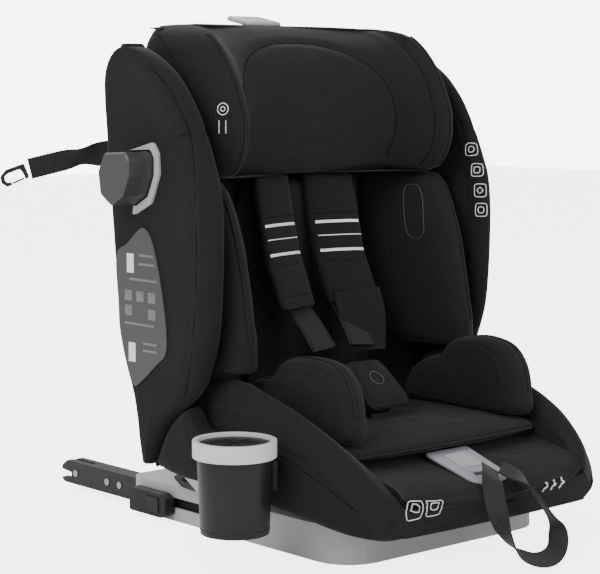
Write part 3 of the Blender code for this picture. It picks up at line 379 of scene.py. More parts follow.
# %% Skin over ribs
def smooth_row(points, count, closed):
    """count points on a smooth curve through the given ones."""
    points = np.asarray(points, float)
    n = len(points)
    spans = n if closed else n - 1
    t = np.arange(count) * spans / (count if closed else count - 1)
    i = np.minimum(t.astype(int), spans - 1)
    u = (t - i).reshape((-1,) + (1,) * (points.ndim - 1))
    if closed:
        a, b, c, d = (points[(i + j) % n] for j in (-1, 0, 1, 2))
    else:
        longer = np.concatenate([[2 * points[0] - points[1]], points, [2 * points[-1] - points[-2]]])
        a, b, c, d = (longer[i + j] for j in (0, 1, 2, 3))
    return 0.5 * (2 * b + (c - a) * u + (2 * a - 5 * b + 4 * c - d) * u ** 2 + (3 * b - 3 * c + d - a) * u ** 3)


def skin(name, ribs, around=64, along=48, round_end=0.010):
    """A closed skin through ribs of equal point count, its two ends rounded off."""
    rows = np.array([smooth_row(rib, around, True) for rib in ribs])
    rows = smooth_row(rows, along, False)
    caps = []
    for end, step in ((rows[0], rows[0] - rows[1]), (rows[-1], rows[-1] - rows[-2])):
        out = step.mean(axis=0)
        out = out / np.linalg.norm(out)
        middle = end.mean(axis=0)
        size = np.linalg.norm(end - middle, axis=1)[:, None]
        cap = []
        for angle in (0.35, 0.75, 1.15, 1.5):
            pull = np.minimum(round_end * (1 - math.cos(angle)) / size, 0.8)
            cap.append(end + (middle - end) * pull + out * round_end * math.sin(angle))
        for share in (0.70, 0.40, 0.15):
            last = cap[3]
            cap.append(last.mean(axis=0) + (last - last.mean(axis=0)) * share)
        caps.append(cap)
    rings = caps[0][::-1] + list(rows) + caps[1]
    points = np.concatenate(rings)
    faces = []
    for i in range(len(rings) - 1):
        for k in range(around):
            after = (k + 1) % around
            faces.append((i * around + k, i * around + after, (i + 1) * around + after, (i + 1) * around + k))
    faces.append(tuple(range(around)))
    faces.append(tuple(range(len(points) - around, len(points))))
    mesh = bpy.data.meshes.new(name)
    mesh.from_pydata([tuple(p) for p in points], [], faces)
    piece = bpy.data.objects.new(name, mesh)
    bpy.context.scene.collection.objects.link(piece)
    face_out(piece)
    piece.data.shade_smooth()
    return piece


def coordinates(piece):
    """The piece's vertices as an array of rows."""
    co = np.empty(len(piece.data.vertices) * 3)
    piece.data.vertices.foreach_get("co", co)
    return co.reshape(-1, 3)


def face_out(piece):
    """Turns a closed mesh's faces outwards."""
    shape = bmesh.new()
    shape.from_mesh(piece.data)
    bmesh.ops.recalc_face_normals(shape, faces=shape.faces)
    if shape.calc_volume(signed=True) < 0:
        bmesh.ops.reverse_faces(shape, faces=shape.faces)
    shape.to_mesh(piece.data)
    shape.free()


# %% [markdown]
# Foam under a cover swells. Blender's cloth does that by itself: the skin is pumped up a
# little with no gravity, and no point may move further than a few millimetres, so the
# piece keeps its size. The bolsters, the insert and the shoulder pads are made so. The
# other covers are only drawn over ribs, and all but the back cushion get slow small folds.

# %% Stuffing
def use_only(piece):
    bpy.ops.object.select_all(action="DESELECT")
    piece.select_set(True)
    bpy.context.view_layer.objects.active = piece


def stuff(piece, pressure=4.0, most=0.008, frames=20):
    """Swells the skin by cloth simulation and holds each point near its start."""
    start = coordinates(piece)
    cloth_mod = piece.modifiers.new("stuffing", "CLOTH")
    cloth_mod.settings.use_pressure = True
    cloth_mod.settings.uniform_pressure_force = pressure
    cloth_mod.settings.quality = 4
    cloth_mod.settings.effector_weights.gravity = 0.0
    cloth_mod.collision_settings.use_collision = False
    cloth_mod.point_cache.frame_start = 1
    cloth_mod.point_cache.frame_end = frames
    for frame_number in range(1, frames + 1):
        bpy.context.scene.frame_set(frame_number)
    graph = bpy.context.evaluated_depsgraph_get()
    pumped = piece.evaluated_get(graph).to_mesh()
    end = np.empty(len(pumped.vertices) * 3)
    pumped.vertices.foreach_get("co", end)
    end = end.reshape(-1, 3)
    piece.evaluated_get(graph).to_mesh_clear()
    piece.modifiers.remove(cloth_mod)
    bpy.context.scene.frame_set(1)
    move = end - start
    length = np.linalg.norm(move, axis=1)[:, None]
    move *= np.minimum(1.0, most / np.maximum(length, 1e-9))
    piece.data.vertices.foreach_set("co", (start + move).ravel())
    piece.data.update()
    return piece


# %% [markdown]
# A seam is where the cover is pulled in and held by thread. The line is snapped onto the
# skin, the skin is pressed in along it in a soft V, and a thin cord is laid in the V:
# near-black for a plain seam, as painted shade in the groove, and a little thicker and
# proud of the surface for piping.

# %% Seams and piping
def snapped(host, points, spacing=0.004, closed=False):
    """A dense line through the points, laid on the host's skin, with the skin's normals."""
    count = max(4, int(sum((Vector(b) - Vector(a)).length for a, b in zip(points, points[1:])) / spacing))
    tree = BVHTree.FromPolygons(coordinates(host).tolist(), [tuple(p.vertices) for p in host.data.polygons])
    line, normals = [], []
    for point in smooth_row(points, count, closed):
        found, normal, _, _ = tree.find_nearest(Vector(point))
        line.append(np.array(found))
        normals.append(np.array(normal))
    return np.array(line), np.array(normals)


def press_in(host, line, normals, depth=0.0015, reach=0.006):
    """Presses the skin in along a line."""
    co = coordinates(host)
    nearest = np.full(len(co), 9.0)
    which = np.zeros(len(co), int)
    for k, point in enumerate(line):
        distance = np.linalg.norm(co - point, axis=1)
        closer = distance < nearest
        nearest[closer] = distance[closer]
        which[closer] = k
    push = depth * np.exp(-((nearest / reach) ** 2) * 2.5)
    co -= normals[which] * push[:, None]
    host.data.vertices.foreach_set("co", co.ravel())
    host.data.update()


def cord_along(name, line, radius, material, body, sides=6, closed=False):
    """A thin round cord through a line of points."""
    line = np.asarray(line)
    rings = []
    side = None
    count = len(line)
    for k in range(count):
        ahead = line[(k + 1) % count] - line[k - 1] if closed else line[min(k + 1, count - 1)] - line[max(k - 1, 0)]
        ahead = ahead / max(np.linalg.norm(ahead), 1e-9)
        if side is None:
            side = np.cross(ahead, (0.3, 0.2, 0.9))
        side = side - ahead * side.dot(ahead)
        side = side / max(np.linalg.norm(side), 1e-9)
        up = np.cross(ahead, side)
        rings.append([line[k] + radius * (side * math.cos(a) + up * math.sin(a))
                      for a in (2 * math.pi * j / sides for j in range(sides))])
    points = [tuple(p) for ring in rings for p in ring]
    faces = []
    for i in range(count if closed else count - 1):
        for j in range(sides):
            after = (j + 1) % sides
            far = (i + 1) % count
            faces.append((i * sides + j, i * sides + after, far * sides + after, far * sides + j))
    if not closed:
        faces.append(tuple(range(sides)))
        faces.append(tuple(range((count - 1) * sides, count * sides)))
    mesh = bpy.data.meshes.new(name)
    mesh.from_pydata(points, [], faces)
    cord = bpy.data.objects.new(name, mesh)
    bpy.context.scene.collection.objects.link(cord)
    face_out(cord)
    mesh.shade_smooth()
    mesh.materials.append(material)
    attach(cord, body)
    return cord


def sew(host, name, points, body, radius=0.0008, material=None, depth=0.0015, reach=0.006, proud=0.0,
        closed=False):
    """Presses a seam into a padded piece and lays a cord in it: by default near-black, as painted shade in the
    groove, or piping.
    """
    line, normals = snapped(host, points, closed=closed)
    press_in(host, line, normals, depth, reach)
    return cord_along(name, line - normals * (depth - proud), radius, material or PAINTED_SEAM_SHADE, body, closed=closed)


def finish_soft(piece, material, body, replaced):
    piece.data.materials.clear()
    piece.data.materials.append(material)
    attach(piece, body)
    if replaced:
        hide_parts(*replaced)
    print(piece.name, len(piece.data.polygons), "faces")
    return piece


# %% [markdown]
# ## The backrest's side wings
# A wing is a board of foam 27 mm thick inside a tight cover. Its front edge is a broad
# rounded band, and its foot is hollowed out so that it can swing past the seat's side
# when the backrest reclines. The ribs are level slices through it, from the foot up.

# %% Measures shared by the padded pieces
LEAN = math.tan(math.radians(6.0))


def leaning(offset, z):
    """Depth of a point that lies this far behind the backrest's leaning line."""
    return offset + z * LEAN


def ripple(piece, height=0.0006, length=0.06):
    """Slow small folds in a cover, always the same ones."""
    count = len(piece.data.vertices)
    co = np.empty(count * 3)
    normal = np.empty(count * 3)
    piece.data.vertices.foreach_get("co", co)
    piece.data.vertices.foreach_get("normal", normal)
    co = co.reshape(-1, 3)
    swell = np.array([noise.noise(point / length) for point in map(Vector, co)])
    co += normal.reshape(-1, 3) * height * swell[:, None]
    piece.data.vertices.foreach_set("co", co.ravel())
    piece.data.update()
    return piece


def mirrored(half_rib):
    """A closed rib from its right half, which starts and ends on the middle plane."""
    left = [(-x, y, z) for x, y, z in half_rib[1:-1][::-1]]
    return list(half_rib) + left


# %% Wings
#  height, front edge, rear edge
WING_SLICES = ((0.086, 0.076, 0.088), (0.100, 0.071, 0.092), (0.115, 0.063, 0.096), (0.130, 0.053, 0.099),
               (0.145, 0.038, 0.103), (0.155, 0.023, 0.106), (0.162, 0.011, 0.108), (0.182, -0.010, 0.116),
               (0.212, -0.024, 0.128), (0.247, -0.034, 0.133), (0.300, -0.039, 0.139), (0.360, -0.040, 0.145),
               (0.400, -0.036, 0.149), (0.426, -0.027, 0.152), (0.461, -0.011, 0.155), (0.494, 0.009, 0.158),
               (0.521, 0.034, 0.158), (0.538, 0.059, 0.152), (0.548, 0.079, 0.143), (0.5535, 0.095, 0.133),
               (0.5565, 0.108, 0.122))


def wing_rib(side, z, front, rear):
    deep = min(1.0, (rear - front) / 0.075)
    plan = ((0.2262, rear - 0.006 * deep), (0.2268, rear - 0.020 * deep), (0.2270, (front + rear) / 2),
            (0.2268, front + 0.030 * deep), (0.2240, front + 0.013 * deep), (0.2190, front + 0.004 * deep),
            (0.2125, front), (0.2060, front + 0.003 * deep), (0.2012, front + 0.012 * deep),
            (0.1998, front + 0.030 * deep), (0.1997, (front + rear) / 2), (0.2000, rear - 0.012 * deep),
            (0.2040, rear - 0.002), (0.2130, rear), (0.2220, rear - 0.001))
    return [(side * x, y, z) for x, y in plan]


wings = {}
for side_name, side in (("left", -1), ("right", 1)):
    wing = skin("cover_wing_" + side_name, [wing_rib(side, *row) for row in WING_SLICES], around=72,
                along=140,
                round_end=0.0035)
    ripple(wing, 0.0005, 0.09)
    wings[side_name] = wing
    body_seam = [(side * 0.227, 0.067, 0.534), (side * 0.227, 0.037, 0.513), (side * 0.227, 0.017, 0.489),
                 (side * 0.227, -0.001, 0.461), (side * 0.227, -0.010, 0.426), (side * 0.227, -0.013, 0.359),
                 (side * 0.227, -0.013, 0.317), (side * 0.227, -0.008, 0.244), (side * 0.227, 0.005, 0.183),
                 (side * 0.227, 0.016, 0.163)]
    sew(wing, "wing_seam_" + side_name, body_seam, "backrest", depth=0.0012, reach=0.005)
    inner_seam = [(side * 0.2005, y - 0.002, z) for _, y, z in body_seam[1:-1]]
    sew(wing, "wing_inner_seam_" + side_name, inner_seam, "backrest", depth=0.0010, reach=0.005)
    cross = [(side * 0.2015, -0.004, 0.462), (side * 0.2125, -0.013, 0.461), (side * 0.224, 0.000, 0.461),
             (side * 0.227, 0.012, 0.459), (side * 0.227, 0.025, 0.453), (side * 0.227, 0.040, 0.446),
             (side * 0.227, 0.052, 0.440)]
    sew(wing, "wing_cross_seam_" + side_name, cross, "backrest", depth=0.0012, reach=0.005)
    finish_soft(wing, PANEL, "backrest", ["wing_" + side_name])

# %% [markdown]
# ## The backrest's cushions
# Between the wings stand two soft bolsters that hold the child's trunk, and a flat
# cushion between them. Each bolster rises to a piped ridge and falls steeply to the side.

# %% Side bolsters and back cushion
BOLSTER_RIDGE = ((0.203, -0.046), (0.228, -0.046), (0.251, -0.042), (0.278, -0.037), (0.311, -0.030),
                 (0.332, -0.025), (0.354, -0.017), (0.375, -0.008), (0.392, 0.002), (0.399, 0.010))


def back_bolster_rib(side, z, ridge):
    back = leaning(0.095, z)
    foot = leaning(0.058, z)
    plan = ((0.1310, foot - 0.002), (0.1340, foot - 0.016), (0.1430, (foot + ridge) / 2),
            (0.1560, ridge + 0.014),
            (0.1660, ridge + 0.003), (0.1740, ridge), (0.1830, ridge + 0.004), (0.1890, ridge + 0.016),
            (0.1920, ridge + 0.045), (0.1920, back - 0.012), (0.1880, back - 0.002), (0.1600, back),
            (0.1340, back))
    return [(side * x, y, z) for x, y in plan]


bolsters = {}
for side_name, side in (("left", -1), ("right", 1)):
    bolster = bolsters[side_name] = skin("cover_back_bolster_" + side_name,
                                         [back_bolster_rib(side, z, r) for z, r in BOLSTER_RIDGE],
                   around=72, along=70, round_end=0.007)
    stuff(bolster, pressure=3.0, most=0.002, frames=10)
    ripple(bolster, 0.0007, 0.07)
    ridge = [(side * 0.176, r, z) for z, r in BOLSTER_RIDGE[1:]]
    sew(bolster, "back_bolster_piping_" + side_name, ridge, "backrest", radius=0.0014, material=PIPING,
        depth=0.0012,
        reach=0.006, proud=0.0012)
    finish_soft(bolster, COVER, "backrest", ["backrest_bolster_" + side_name])


def upright_pad_rib(z, half, front, rear, crown):
    half_rib = [(0.0, leaning(front, z) - crown), (half * 0.5, leaning(front, z) - crown * 0.8),
                (half * 0.85, leaning(front, z)), (half * 0.97, leaning(front, z) + 0.004),
                (half, leaning((front + rear) / 2, z)),
                (half * 0.97, leaning(rear, z) - 0.002), (half * 0.8, leaning(rear, z)),
                (0.0, leaning(rear, z))]
    return mirrored([(x, y, z) for x, y in half_rib])


back = skin("cover_back_cushion", [upright_pad_rib(z, 0.1275, 0.0600, 0.0850, 0.001)
                                   for z in (0.130, 0.160, 0.190, 0.240, 0.300, 0.350, 0.396)], around=72,
            along=60, round_end=0.005)
finish_soft(back, COVER, "backrest", ["backrest_cushion"])

INSERT_BACK = ((0.136, 0.070), (0.150, 0.082), (0.190, 0.090), (0.210, 0.093), (0.235, 0.095), (0.280, 0.094),
               (0.330, 0.090), (0.370, 0.084), (0.394, 0.072))
insert_back = skin("cover_insert_back", [upright_pad_rib(z, half, 0.0455, 0.0565, 0.0015) for z,
                                         half in INSERT_BACK],
                   around=72, along=70, round_end=0.004)
stuff(insert_back, pressure=3.0, most=0.002, frames=8)
ripple(insert_back, 0.0008, 0.06)
for side_name, side in (("left", -1), ("right", 1)):
    lobe = [(side * x, leaning(0.043, z), z) for x, z in ((0.030, 0.215), (0.046, 0.240), (0.052, 0.300),
                                                          (0.050, 0.360), (0.044, 0.388))]
    sew(insert_back, "insert_back_seam_" + side_name, lobe, "backrest", depth=0.0015, reach=0.006)
finish_soft(insert_back, INSERT, "backrest", ["insert_back_cushion"])

# %% [markdown]
# ## The headrest
# One padded hood goes round the head: two deep wings, a roll along the top, and a hollow
# between them. Level ribs in a C shape run from its lower edge to the top. Each one is
# drawn as its right half and mirrored. Its cushion is a separate panel of cover, set off
# by an arched seam, and piping runs along each wing's front edge.

# %% Headrest hood
#  height, middle, cushion edge, inner wing, front edge, rear in the middle, rear at the side
HOOD_SLICES = (
    (0.4105, 0.064, 0.058, 0.030, 0.012, 0.1295, 0.128), (0.4150, 0.059, 0.050, 0.016, 0.000, 0.1300, 0.128),
    (0.4300, 0.056, 0.042, 0.000, -0.013, 0.1315, 0.130), (0.4530, 0.054, 0.035, -0.008, -0.021, 0.1340,
                                                           0.132),
    (0.4810, 0.053, 0.030, -0.008, -0.020, 0.1370, 0.134), (0.5040, 0.054, 0.031, -0.001, -0.011, 0.1395,
                                                            0.136),
    (0.5270, 0.058, 0.038, 0.011, 0.001, 0.1415, 0.137), (0.5460, 0.066, 0.050, 0.027, 0.015, 0.1440, 0.137),
    (0.5620, 0.080, 0.068, 0.047, 0.030, 0.1530, 0.136), (0.5740, 0.098, 0.090, 0.070, 0.047, 0.1620, 0.132),
    (0.5810, 0.113, 0.109, 0.094, 0.068, 0.1610, 0.127), (0.5840, 0.127, 0.125, 0.113, 0.092, 0.1560, 0.121))


def hood_rib(z, middle, cushion, inner, front, rear, side_rear):
    slim = 1.0 - 0.050 * max(0.0, (z - 0.556) / 0.029) ** 2
    droop = 0.0065 * max(0.0, (z - 0.500) / 0.085) ** 2
    half = ((0.0, middle), (0.045, middle - 0.001), (0.090, (2 * middle + cushion) / 3), (0.120, cushion),
            (0.136, (cushion + inner) / 2 - 0.002), (0.147, inner), (0.155, front + 0.002), (0.162, front),
            (0.170, front + 0.004), (0.178, front + 0.018), (0.1845, front + 0.042),
            (0.1865, (front + side_rear) / 2 + 0.020),
            (0.1860, side_rear - 0.014), (0.1800, side_rear - 0.002),
            (0.1600, (side_rear + rear) / 2 + 0.002),
            (0.110, rear - 0.001), (0.050, rear), (0.0, rear))
    return mirrored([(x * slim if x > 0.13 else x, y, z - droop * (x / 0.187) ** 5) for x, y in half])


hood = skin("cover_headrest", [hood_rib(*row) for row in HOOD_SLICES], around=200, along=90, round_end=0.004)
ripple(hood, 0.0007, 0.08)
ARCH = [(-0.118, 0.045, 0.425), (-0.120, 0.032, 0.455), (-0.118, 0.030, 0.485), (-0.108, 0.040, 0.522),
        (-0.085, 0.060, 0.548),
        (-0.045, 0.078, 0.562), (0.0, 0.083, 0.566), (0.045, 0.078, 0.562), (0.085, 0.060, 0.548),
        (0.108, 0.040, 0.522),
        (0.118, 0.030, 0.485), (0.120, 0.032, 0.455), (0.118, 0.045, 0.425)]
sew(hood, "headrest_arch_seam", ARCH, "headrest", radius=0.0009, depth=0.0030, reach=0.010)
for side_name, side in (("left", -1), ("right", 1)):
    front = [(side * 0.162, y, z) for z, _, _, _, y, _, _ in HOOD_SLICES[1:10]]
    sew(hood, "headrest_piping_" + side_name, front, "headrest", radius=0.0013, material=PIPING, depth=0.0006,
        proud=0.0010)
    inner = [(side * 0.146, y, z) for z, _, _, y, _, _, _ in HOOD_SLICES[1:9]]
    sew(hood, "headrest_wing_seam_" + side_name, inner, "headrest", depth=0.0016, reach=0.006)
    outer = [(side * 0.186, y, z) for y, z in ((0.118, 0.575), (0.097, 0.562), (0.073, 0.539), (0.052, 0.515),
                                               (0.036, 0.480), (0.032, 0.445), (0.040, 0.416))]
    sew(hood, "headrest_side_seam_" + side_name, outer, "headrest", depth=0.0012, reach=0.005)
finish_soft(hood, COVER, "headrest",
            ["headrest_shell", "headrest_cushion", "headrest_wing_left", "headrest_wing_right"])

# %% [markdown]
# ## The seat's cover
# The seat is one tub of padding: a bolster along each side, low at the front and high
# beside the hips, and a nose that rounds down over the front of the base. Its ribs stand
# across the seat and follow each other from back to front, and the front ones are bowed
# forward at the middle.

# %% Seat tub
#  depth, underside, outer side, ridge, ridge height, height between the bolsters
SEAT_SLICES = (
    (0.078, 0.0625, 0.187, 0.172, 0.104, 0.098), (0.055, 0.0625, 0.189, 0.174, 0.136, 0.106),
    (0.036, 0.0625, 0.190, 0.176, 0.166, 0.107), (0.014, 0.0625, 0.1915, 0.177, 0.183, 0.108),
    (-0.034, 0.0625, 0.1920, 0.178, 0.186, 0.108), (-0.060, 0.0625, 0.1925, 0.178, 0.180, 0.108),
    (-0.090, 0.0625, 0.195, 0.178, 0.172, 0.108), (-0.124, 0.0620, 0.198, 0.178, 0.162, 0.107),
    (-0.160, 0.0600, 0.199, 0.177, 0.149, 0.1025), (-0.192, 0.0540, 0.197, 0.174, 0.133, 0.0945),
    (-0.216, 0.0450, 0.191, 0.169, 0.115, 0.0880), (-0.232, 0.0410, 0.182, 0.163, 0.099, 0.0830),
    (-0.242, 0.0420, 0.172, 0.154, 0.087, 0.0785), (-0.248, 0.0460, 0.162, 0.143, 0.077, 0.0725))


def seat_rib(y, under, outer, ridge_x, ridge_z, between):
    lift = 0.009 * min(1.0, max(0.0, (-0.170 - y) / 0.050))
    half = ((0.0, under), (0.080, under), (0.140, under), (outer - 0.018, under + 0.001), (outer - 0.004,
                                                                                           under + 0.010),
            (outer, (under + ridge_z) / 2), (outer - 0.003, ridge_z - 0.020), (ridge_x + 0.007,
                                                                               ridge_z - 0.005),
            (ridge_x, ridge_z), (ridge_x - 0.010, ridge_z - 0.004), (ridge_x - 0.020,
                                                                     (2 * ridge_z + between) / 3),
            (0.146, between + 0.006 + lift), (0.130, between + lift), (0.070, between + 0.6 * lift),
            (0.0, between + 0.001))
    bow = min(1.0, max(0.0, (-0.180 - y) / 0.060))
    return mirrored([(x, y - 0.0125 * bow * (1 - (x / 0.19) ** 2), z) for x, z in half])


tub = skin("cover_seat", [seat_rib(*row) for row in SEAT_SLICES], around=176, along=110, round_end=0.0045)
ripple(tub, 0.0008, 0.08)
for side_name, side in (("left", -1), ("right", 1)):
    foot = [(side * x, y, z) for x, y, z in ((0.150, -0.100, 0.112), (0.150, -0.150, 0.109), (0.148, -0.190,
                                                                                              0.104),
                                             (0.146, -0.220, 0.098), (0.143, -0.240, 0.090), (0.141, -0.249,
                                                                                              0.080),
                                             (0.140, -0.256, 0.064), (0.140, -0.255, 0.050))]
    sew(tub, "seat_nose_seam_" + side_name, foot, "base", depth=0.0020, reach=0.007)
finish_soft(tub, COVER, "base", ["seat_cushion", "seat_bolster_left", "seat_bolster_right"])

# %% [markdown]
# Below each bolster a separate side panel wraps the shell. Its back edge follows the
# hollow of the wing's foot at an even gap, which is what lets the backrest tilt.

# %% Side panels
#  depth, inner side, outer side, underside, top
PANEL_SLICES = (
    (0.070, 0.2000, 0.2205, 0.0800, 0.0890), (0.060, 0.2000, 0.2215, 0.0785, 0.1120), (0.048, 0.2000, 0.2220,
                                                                                       0.0770, 0.1300),
    (0.033, 0.2000, 0.2220, 0.0755, 0.1440), (0.018, 0.2000, 0.2220, 0.0745, 0.1530), (0.008, 0.2000, 0.2215,
                                                                                       0.0740, 0.1500),
    (-0.008, 0.2000, 0.2205, 0.0730, 0.1340), (-0.030, 0.2000, 0.2180, 0.0720, 0.1290), (-0.060, 0.1990,
                                                                                         0.2140, 0.0690,
                                                                                         0.1300),
    (-0.100, 0.1930, 0.2125, 0.0650, 0.1290), (-0.148, 0.1900, 0.2115, 0.0610, 0.1210), (-0.180, 0.1850,
                                                                                         0.2090, 0.0570,
                                                                                         0.1090),
    (-0.205, 0.1750, 0.2030, 0.0520, 0.0960), (-0.222, 0.1650, 0.1950, 0.0480, 0.0840), (-0.235, 0.1500,
                                                                                         0.1840, 0.0450,
                                                                                         0.0710))


def panel_rib(side, y, inner, outer, under, top):
    half = ((inner, under + 0.006), (inner + 0.004, under), (outer - 0.008, under), (outer - 0.001,
                                                                                     under + 0.007),
            (outer, (under + top) / 2), (outer - 0.002, top - 0.008), (outer - 0.008, top - 0.001),
            (inner + 0.005, top),
            (inner, top - 0.005))
    return [(side * x, y, z) for x, z in half]


for side_name, side in (("left", -1), ("right", 1)):
    panel = skin("cover_seat_side_" + side_name, [panel_rib(side, *row) for row in PANEL_SLICES], around=56,
                 along=100,
                 round_end=0.003)
    ripple(panel, 0.0005, 0.07)
    top_line = [(side * (outer - 0.003), y, top - 0.001) for y, _, outer, _, top in PANEL_SLICES[8:]]
    sew(panel, "seat_side_seam_" + side_name, top_line, "base", depth=0.0010, reach=0.004)
    finish_soft(panel, PANEL, "base", ["seat_side_panel_" + side_name])

# %% [markdown]
# ## The small-child insert
# A thin cushion lies in the tub, and two soft arms stand on it. All three are skins over
# ribs, swollen by cloth simulation. Piping is then laid along the cushion's front and
# along the arms' outline.

# %% Insert cushion
CUSHION_PROFILE = ((0.024, 0.1125), (0.0255, 0.1200), (0.016, 0.1275), (-0.040, 0.1285), (-0.110, 0.1285),
                   (-0.160, 0.1275),
                   (-0.180, 0.1240), (-0.1850, 0.1180), (-0.180, 0.1125), (-0.120, 0.1105), (-0.040, 0.1105))


def insert_rib(x):
    thin = 1.0 - 0.35 * (abs(x) / 0.148) ** 6
    pull = 0.010 * (abs(x) / 0.148) ** 4
    return [(x, y + (pull if y < -0.1 else 0.0), 0.1185 + (z - 0.1185) * thin) for y, z in CUSHION_PROFILE]


insert_cushion = skin("cover_insert_cushion", [insert_rib(x) for x in (-0.143, -0.130, -0.09, -0.045, 0.0,
                                                                       0.045, 0.09, 0.130, 0.143)],
                      around=88, along=110, round_end=0.004)
stuff(insert_cushion, pressure=3.0, most=0.0025, frames=12)
ripple(insert_cushion, 0.0010, 0.05)
front = [(x, -0.190 + 0.010 * (abs(x) / 0.148) ** 4, 0.1180) for x in (-0.140, -0.10, -0.05, 0.0, 0.05, 0.10,
                                                                       0.140)]
sew(insert_cushion, "insert_front_piping", front, "base", radius=0.0014, material=PIPING, depth=0.0016,
    reach=0.006, proud=0.0012)
finish_soft(insert_cushion, INSERT, "base", ["insert_seat_cushion"])

# %% Insert arms
ARM_PROFILE = ((0.014, 0.1310), (0.013, 0.152), (0.004, 0.170), (-0.020, 0.184), (-0.046, 0.192),
               (-0.062, 0.2085), (-0.088, 0.2165), (-0.120, 0.2185),
               (-0.150, 0.2110), (-0.168, 0.190), (-0.176, 0.160), (-0.174, 0.1320), (-0.120, 0.1305),
               (-0.040, 0.1305))


def arm_rib(side, x, share):
    centre = (-0.092, 0.160)
    return [(side * x, centre[0] + (y - centre[0]) * share, max(0.1302, centre[1] + (z - centre[1]) * share))
            for y, z in ARM_PROFILE]


for side_name, side in (("left", -1), ("right", 1)):
    ribs = [arm_rib(side, x, share) for x, share in ((0.1135, 0.80), (0.1165, 0.90), (0.124, 0.965),
                                                     (0.134, 0.995),
                                                     (0.143, 0.975), (0.1480, 0.93))]
    arm = skin("cover_insert_arm_" + side_name, ribs, around=96, along=34, round_end=0.002)
    stuff(arm, pressure=3.0, most=0.0025, frames=12)
    ripple(arm, 0.0010, 0.05)
    edge = [(side * 0.138, y, z) for y, z in ARM_PROFILE[1:11]]
    sew(arm, "insert_arm_piping_" + side_name, edge, "base", radius=0.0014, material=PIPING, depth=0.0022,
        reach=0.006,
        proud=0.0014)
    finish_soft(arm, INSERT, "base", ["insert_arm_bolster_" + side_name])


# %% [markdown]
# ## The harness
# Webbing is woven flat and stays flat, so each strap is modelled directly as a smooth
# ribbon with thickness along its route. The shoulder pads are sleeves of foam round the
# straps, made from rounded ribs that follow the chest, with strips of reflective tape
# laid across. The covers ride the backrest, though the rigid pads they stand for ride
# the headrest, and the straps end a little short of the tongue.

# %% Ribbons and tape
def ribbon(name, route, width, thickness, wide, material, body, stands_for=(), count=60):
    """A flat strap along a smooth route; width and wide are one value, or one for each point."""
    widths = np.broadcast_to(np.asarray(width, float), (len(route),))
    wides = np.broadcast_to(np.asarray(wide, float), (len(route), 3))
    line = smooth_row(route, count, False)
    span = smooth_row(widths[:, None], count, False)[:, 0]
    across = smooth_row(wides, count, False)
    ahead = np.gradient(line, axis=0)
    ahead /= np.linalg.norm(ahead, axis=1)[:, None]
    across = across - ahead * (across * ahead).sum(axis=1)[:, None]
    across /= np.linalg.norm(across, axis=1)[:, None]
    thick = np.cross(ahead, across)
    rim = ((-1, -0.5), (-0.97, -1), (-0.5, -1), (0, -1), (0.5, -1), (0.97, -1), (1, -0.5),
           (1, 0.5), (0.97, 1), (0.5, 1), (0, 1), (-0.5, 1), (-0.97, 1), (-1, 0.5))
    points = [tuple(line[k] + across[k] * span[k] / 2 * a + thick[k] * thickness / 2 * b) for k in range(count) for a, b in rim]
    n = len(rim)
    faces = [(i * n + j, i * n + (j + 1) % n, (i + 1) * n + (j + 1) % n, (i + 1) * n + j)
             for i in range(count - 1) for j in range(n)]
    faces += [tuple(range(n)), tuple(range((count - 1) * n, count * n))]
    return plain_piece(name, points, faces, material, body, stands_for)


def plain_piece(name, points, faces, material, body, stands_for=()):
    mesh = bpy.data.meshes.new(name)
    mesh.from_pydata(points, [], faces)
    piece = bpy.data.objects.new(name, mesh)
    bpy.context.scene.collection.objects.link(piece)
    face_out(piece)
    use_only(piece)
    bpy.ops.object.shade_smooth_by_angle(angle=math.radians(40))
    mesh.materials.append(material)
    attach(piece, body)
    if stands_for:
        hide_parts(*stands_for)
    return piece


def tape(host, name, start, end, width, material, body, rise=0.0004, along=24):
    """A thin strip laid on a piece's skin between two points."""
    start, end = np.asarray(start, float), np.asarray(end, float)
    tree = BVHTree.FromPolygons(coordinates(host).tolist(), [tuple(p.vertices) for p in host.data.polygons])
    _, normal, _, _ = tree.find_nearest(Vector((start + end) / 2))
    across = np.cross(end - start, np.array(normal))
    across = across / np.linalg.norm(across) * width / 2
    top, low = [], []
    for k in range(along):
        here = start + (end - start) * k / (along - 1)
        for share in (-1.0, -0.33, 0.33, 1.0):
            found, normal, _, _ = tree.find_nearest(Vector(here + across * share))
            top.append(tuple(found + normal * rise))
            low.append(tuple(found - normal * rise))
    n = len(top)
    faces = []
    for k in range(along - 1):
        for j in range(3):
            a, b, c, d = k * 4 + j, k * 4 + j + 1, k * 4 + j + 5, k * 4 + j + 4
            faces += [(a, b, c, d), (n + d, n + c, n + b, n + a)]
        faces += [(k * 4, k * 4 + 4, n + k * 4 + 4, n + k * 4), (k * 4 + 3, n + k * 4 + 3, n + k * 4 + 7,
                                                                 k * 4 + 7)]
    last = (along - 1) * 4
    faces += [(0, n, n + 1, 1), (1, n + 1, n + 2, 2), (2, n + 2, n + 3, 3)]
    faces += [(last + j, last + j + 1, n + last + j + 1, n + last + j) for j in range(3)]
    return plain_piece(name, top + low, faces, material, body)


def flat_rib(centre, wide, thick, count=28, square=0.45, deep=0.85):
    """A rounded oblong rib about a centre."""
    out = []
    for k in range(count):
        angle = 2 * math.pi * k / count
        c, s = math.cos(angle), math.sin(angle)
        out.append(np.asarray(centre) + np.asarray(wide) * math.copysign(abs(c) ** square, c)
                   + np.asarray(thick) * math.copysign(abs(s) ** deep, s))
    return out


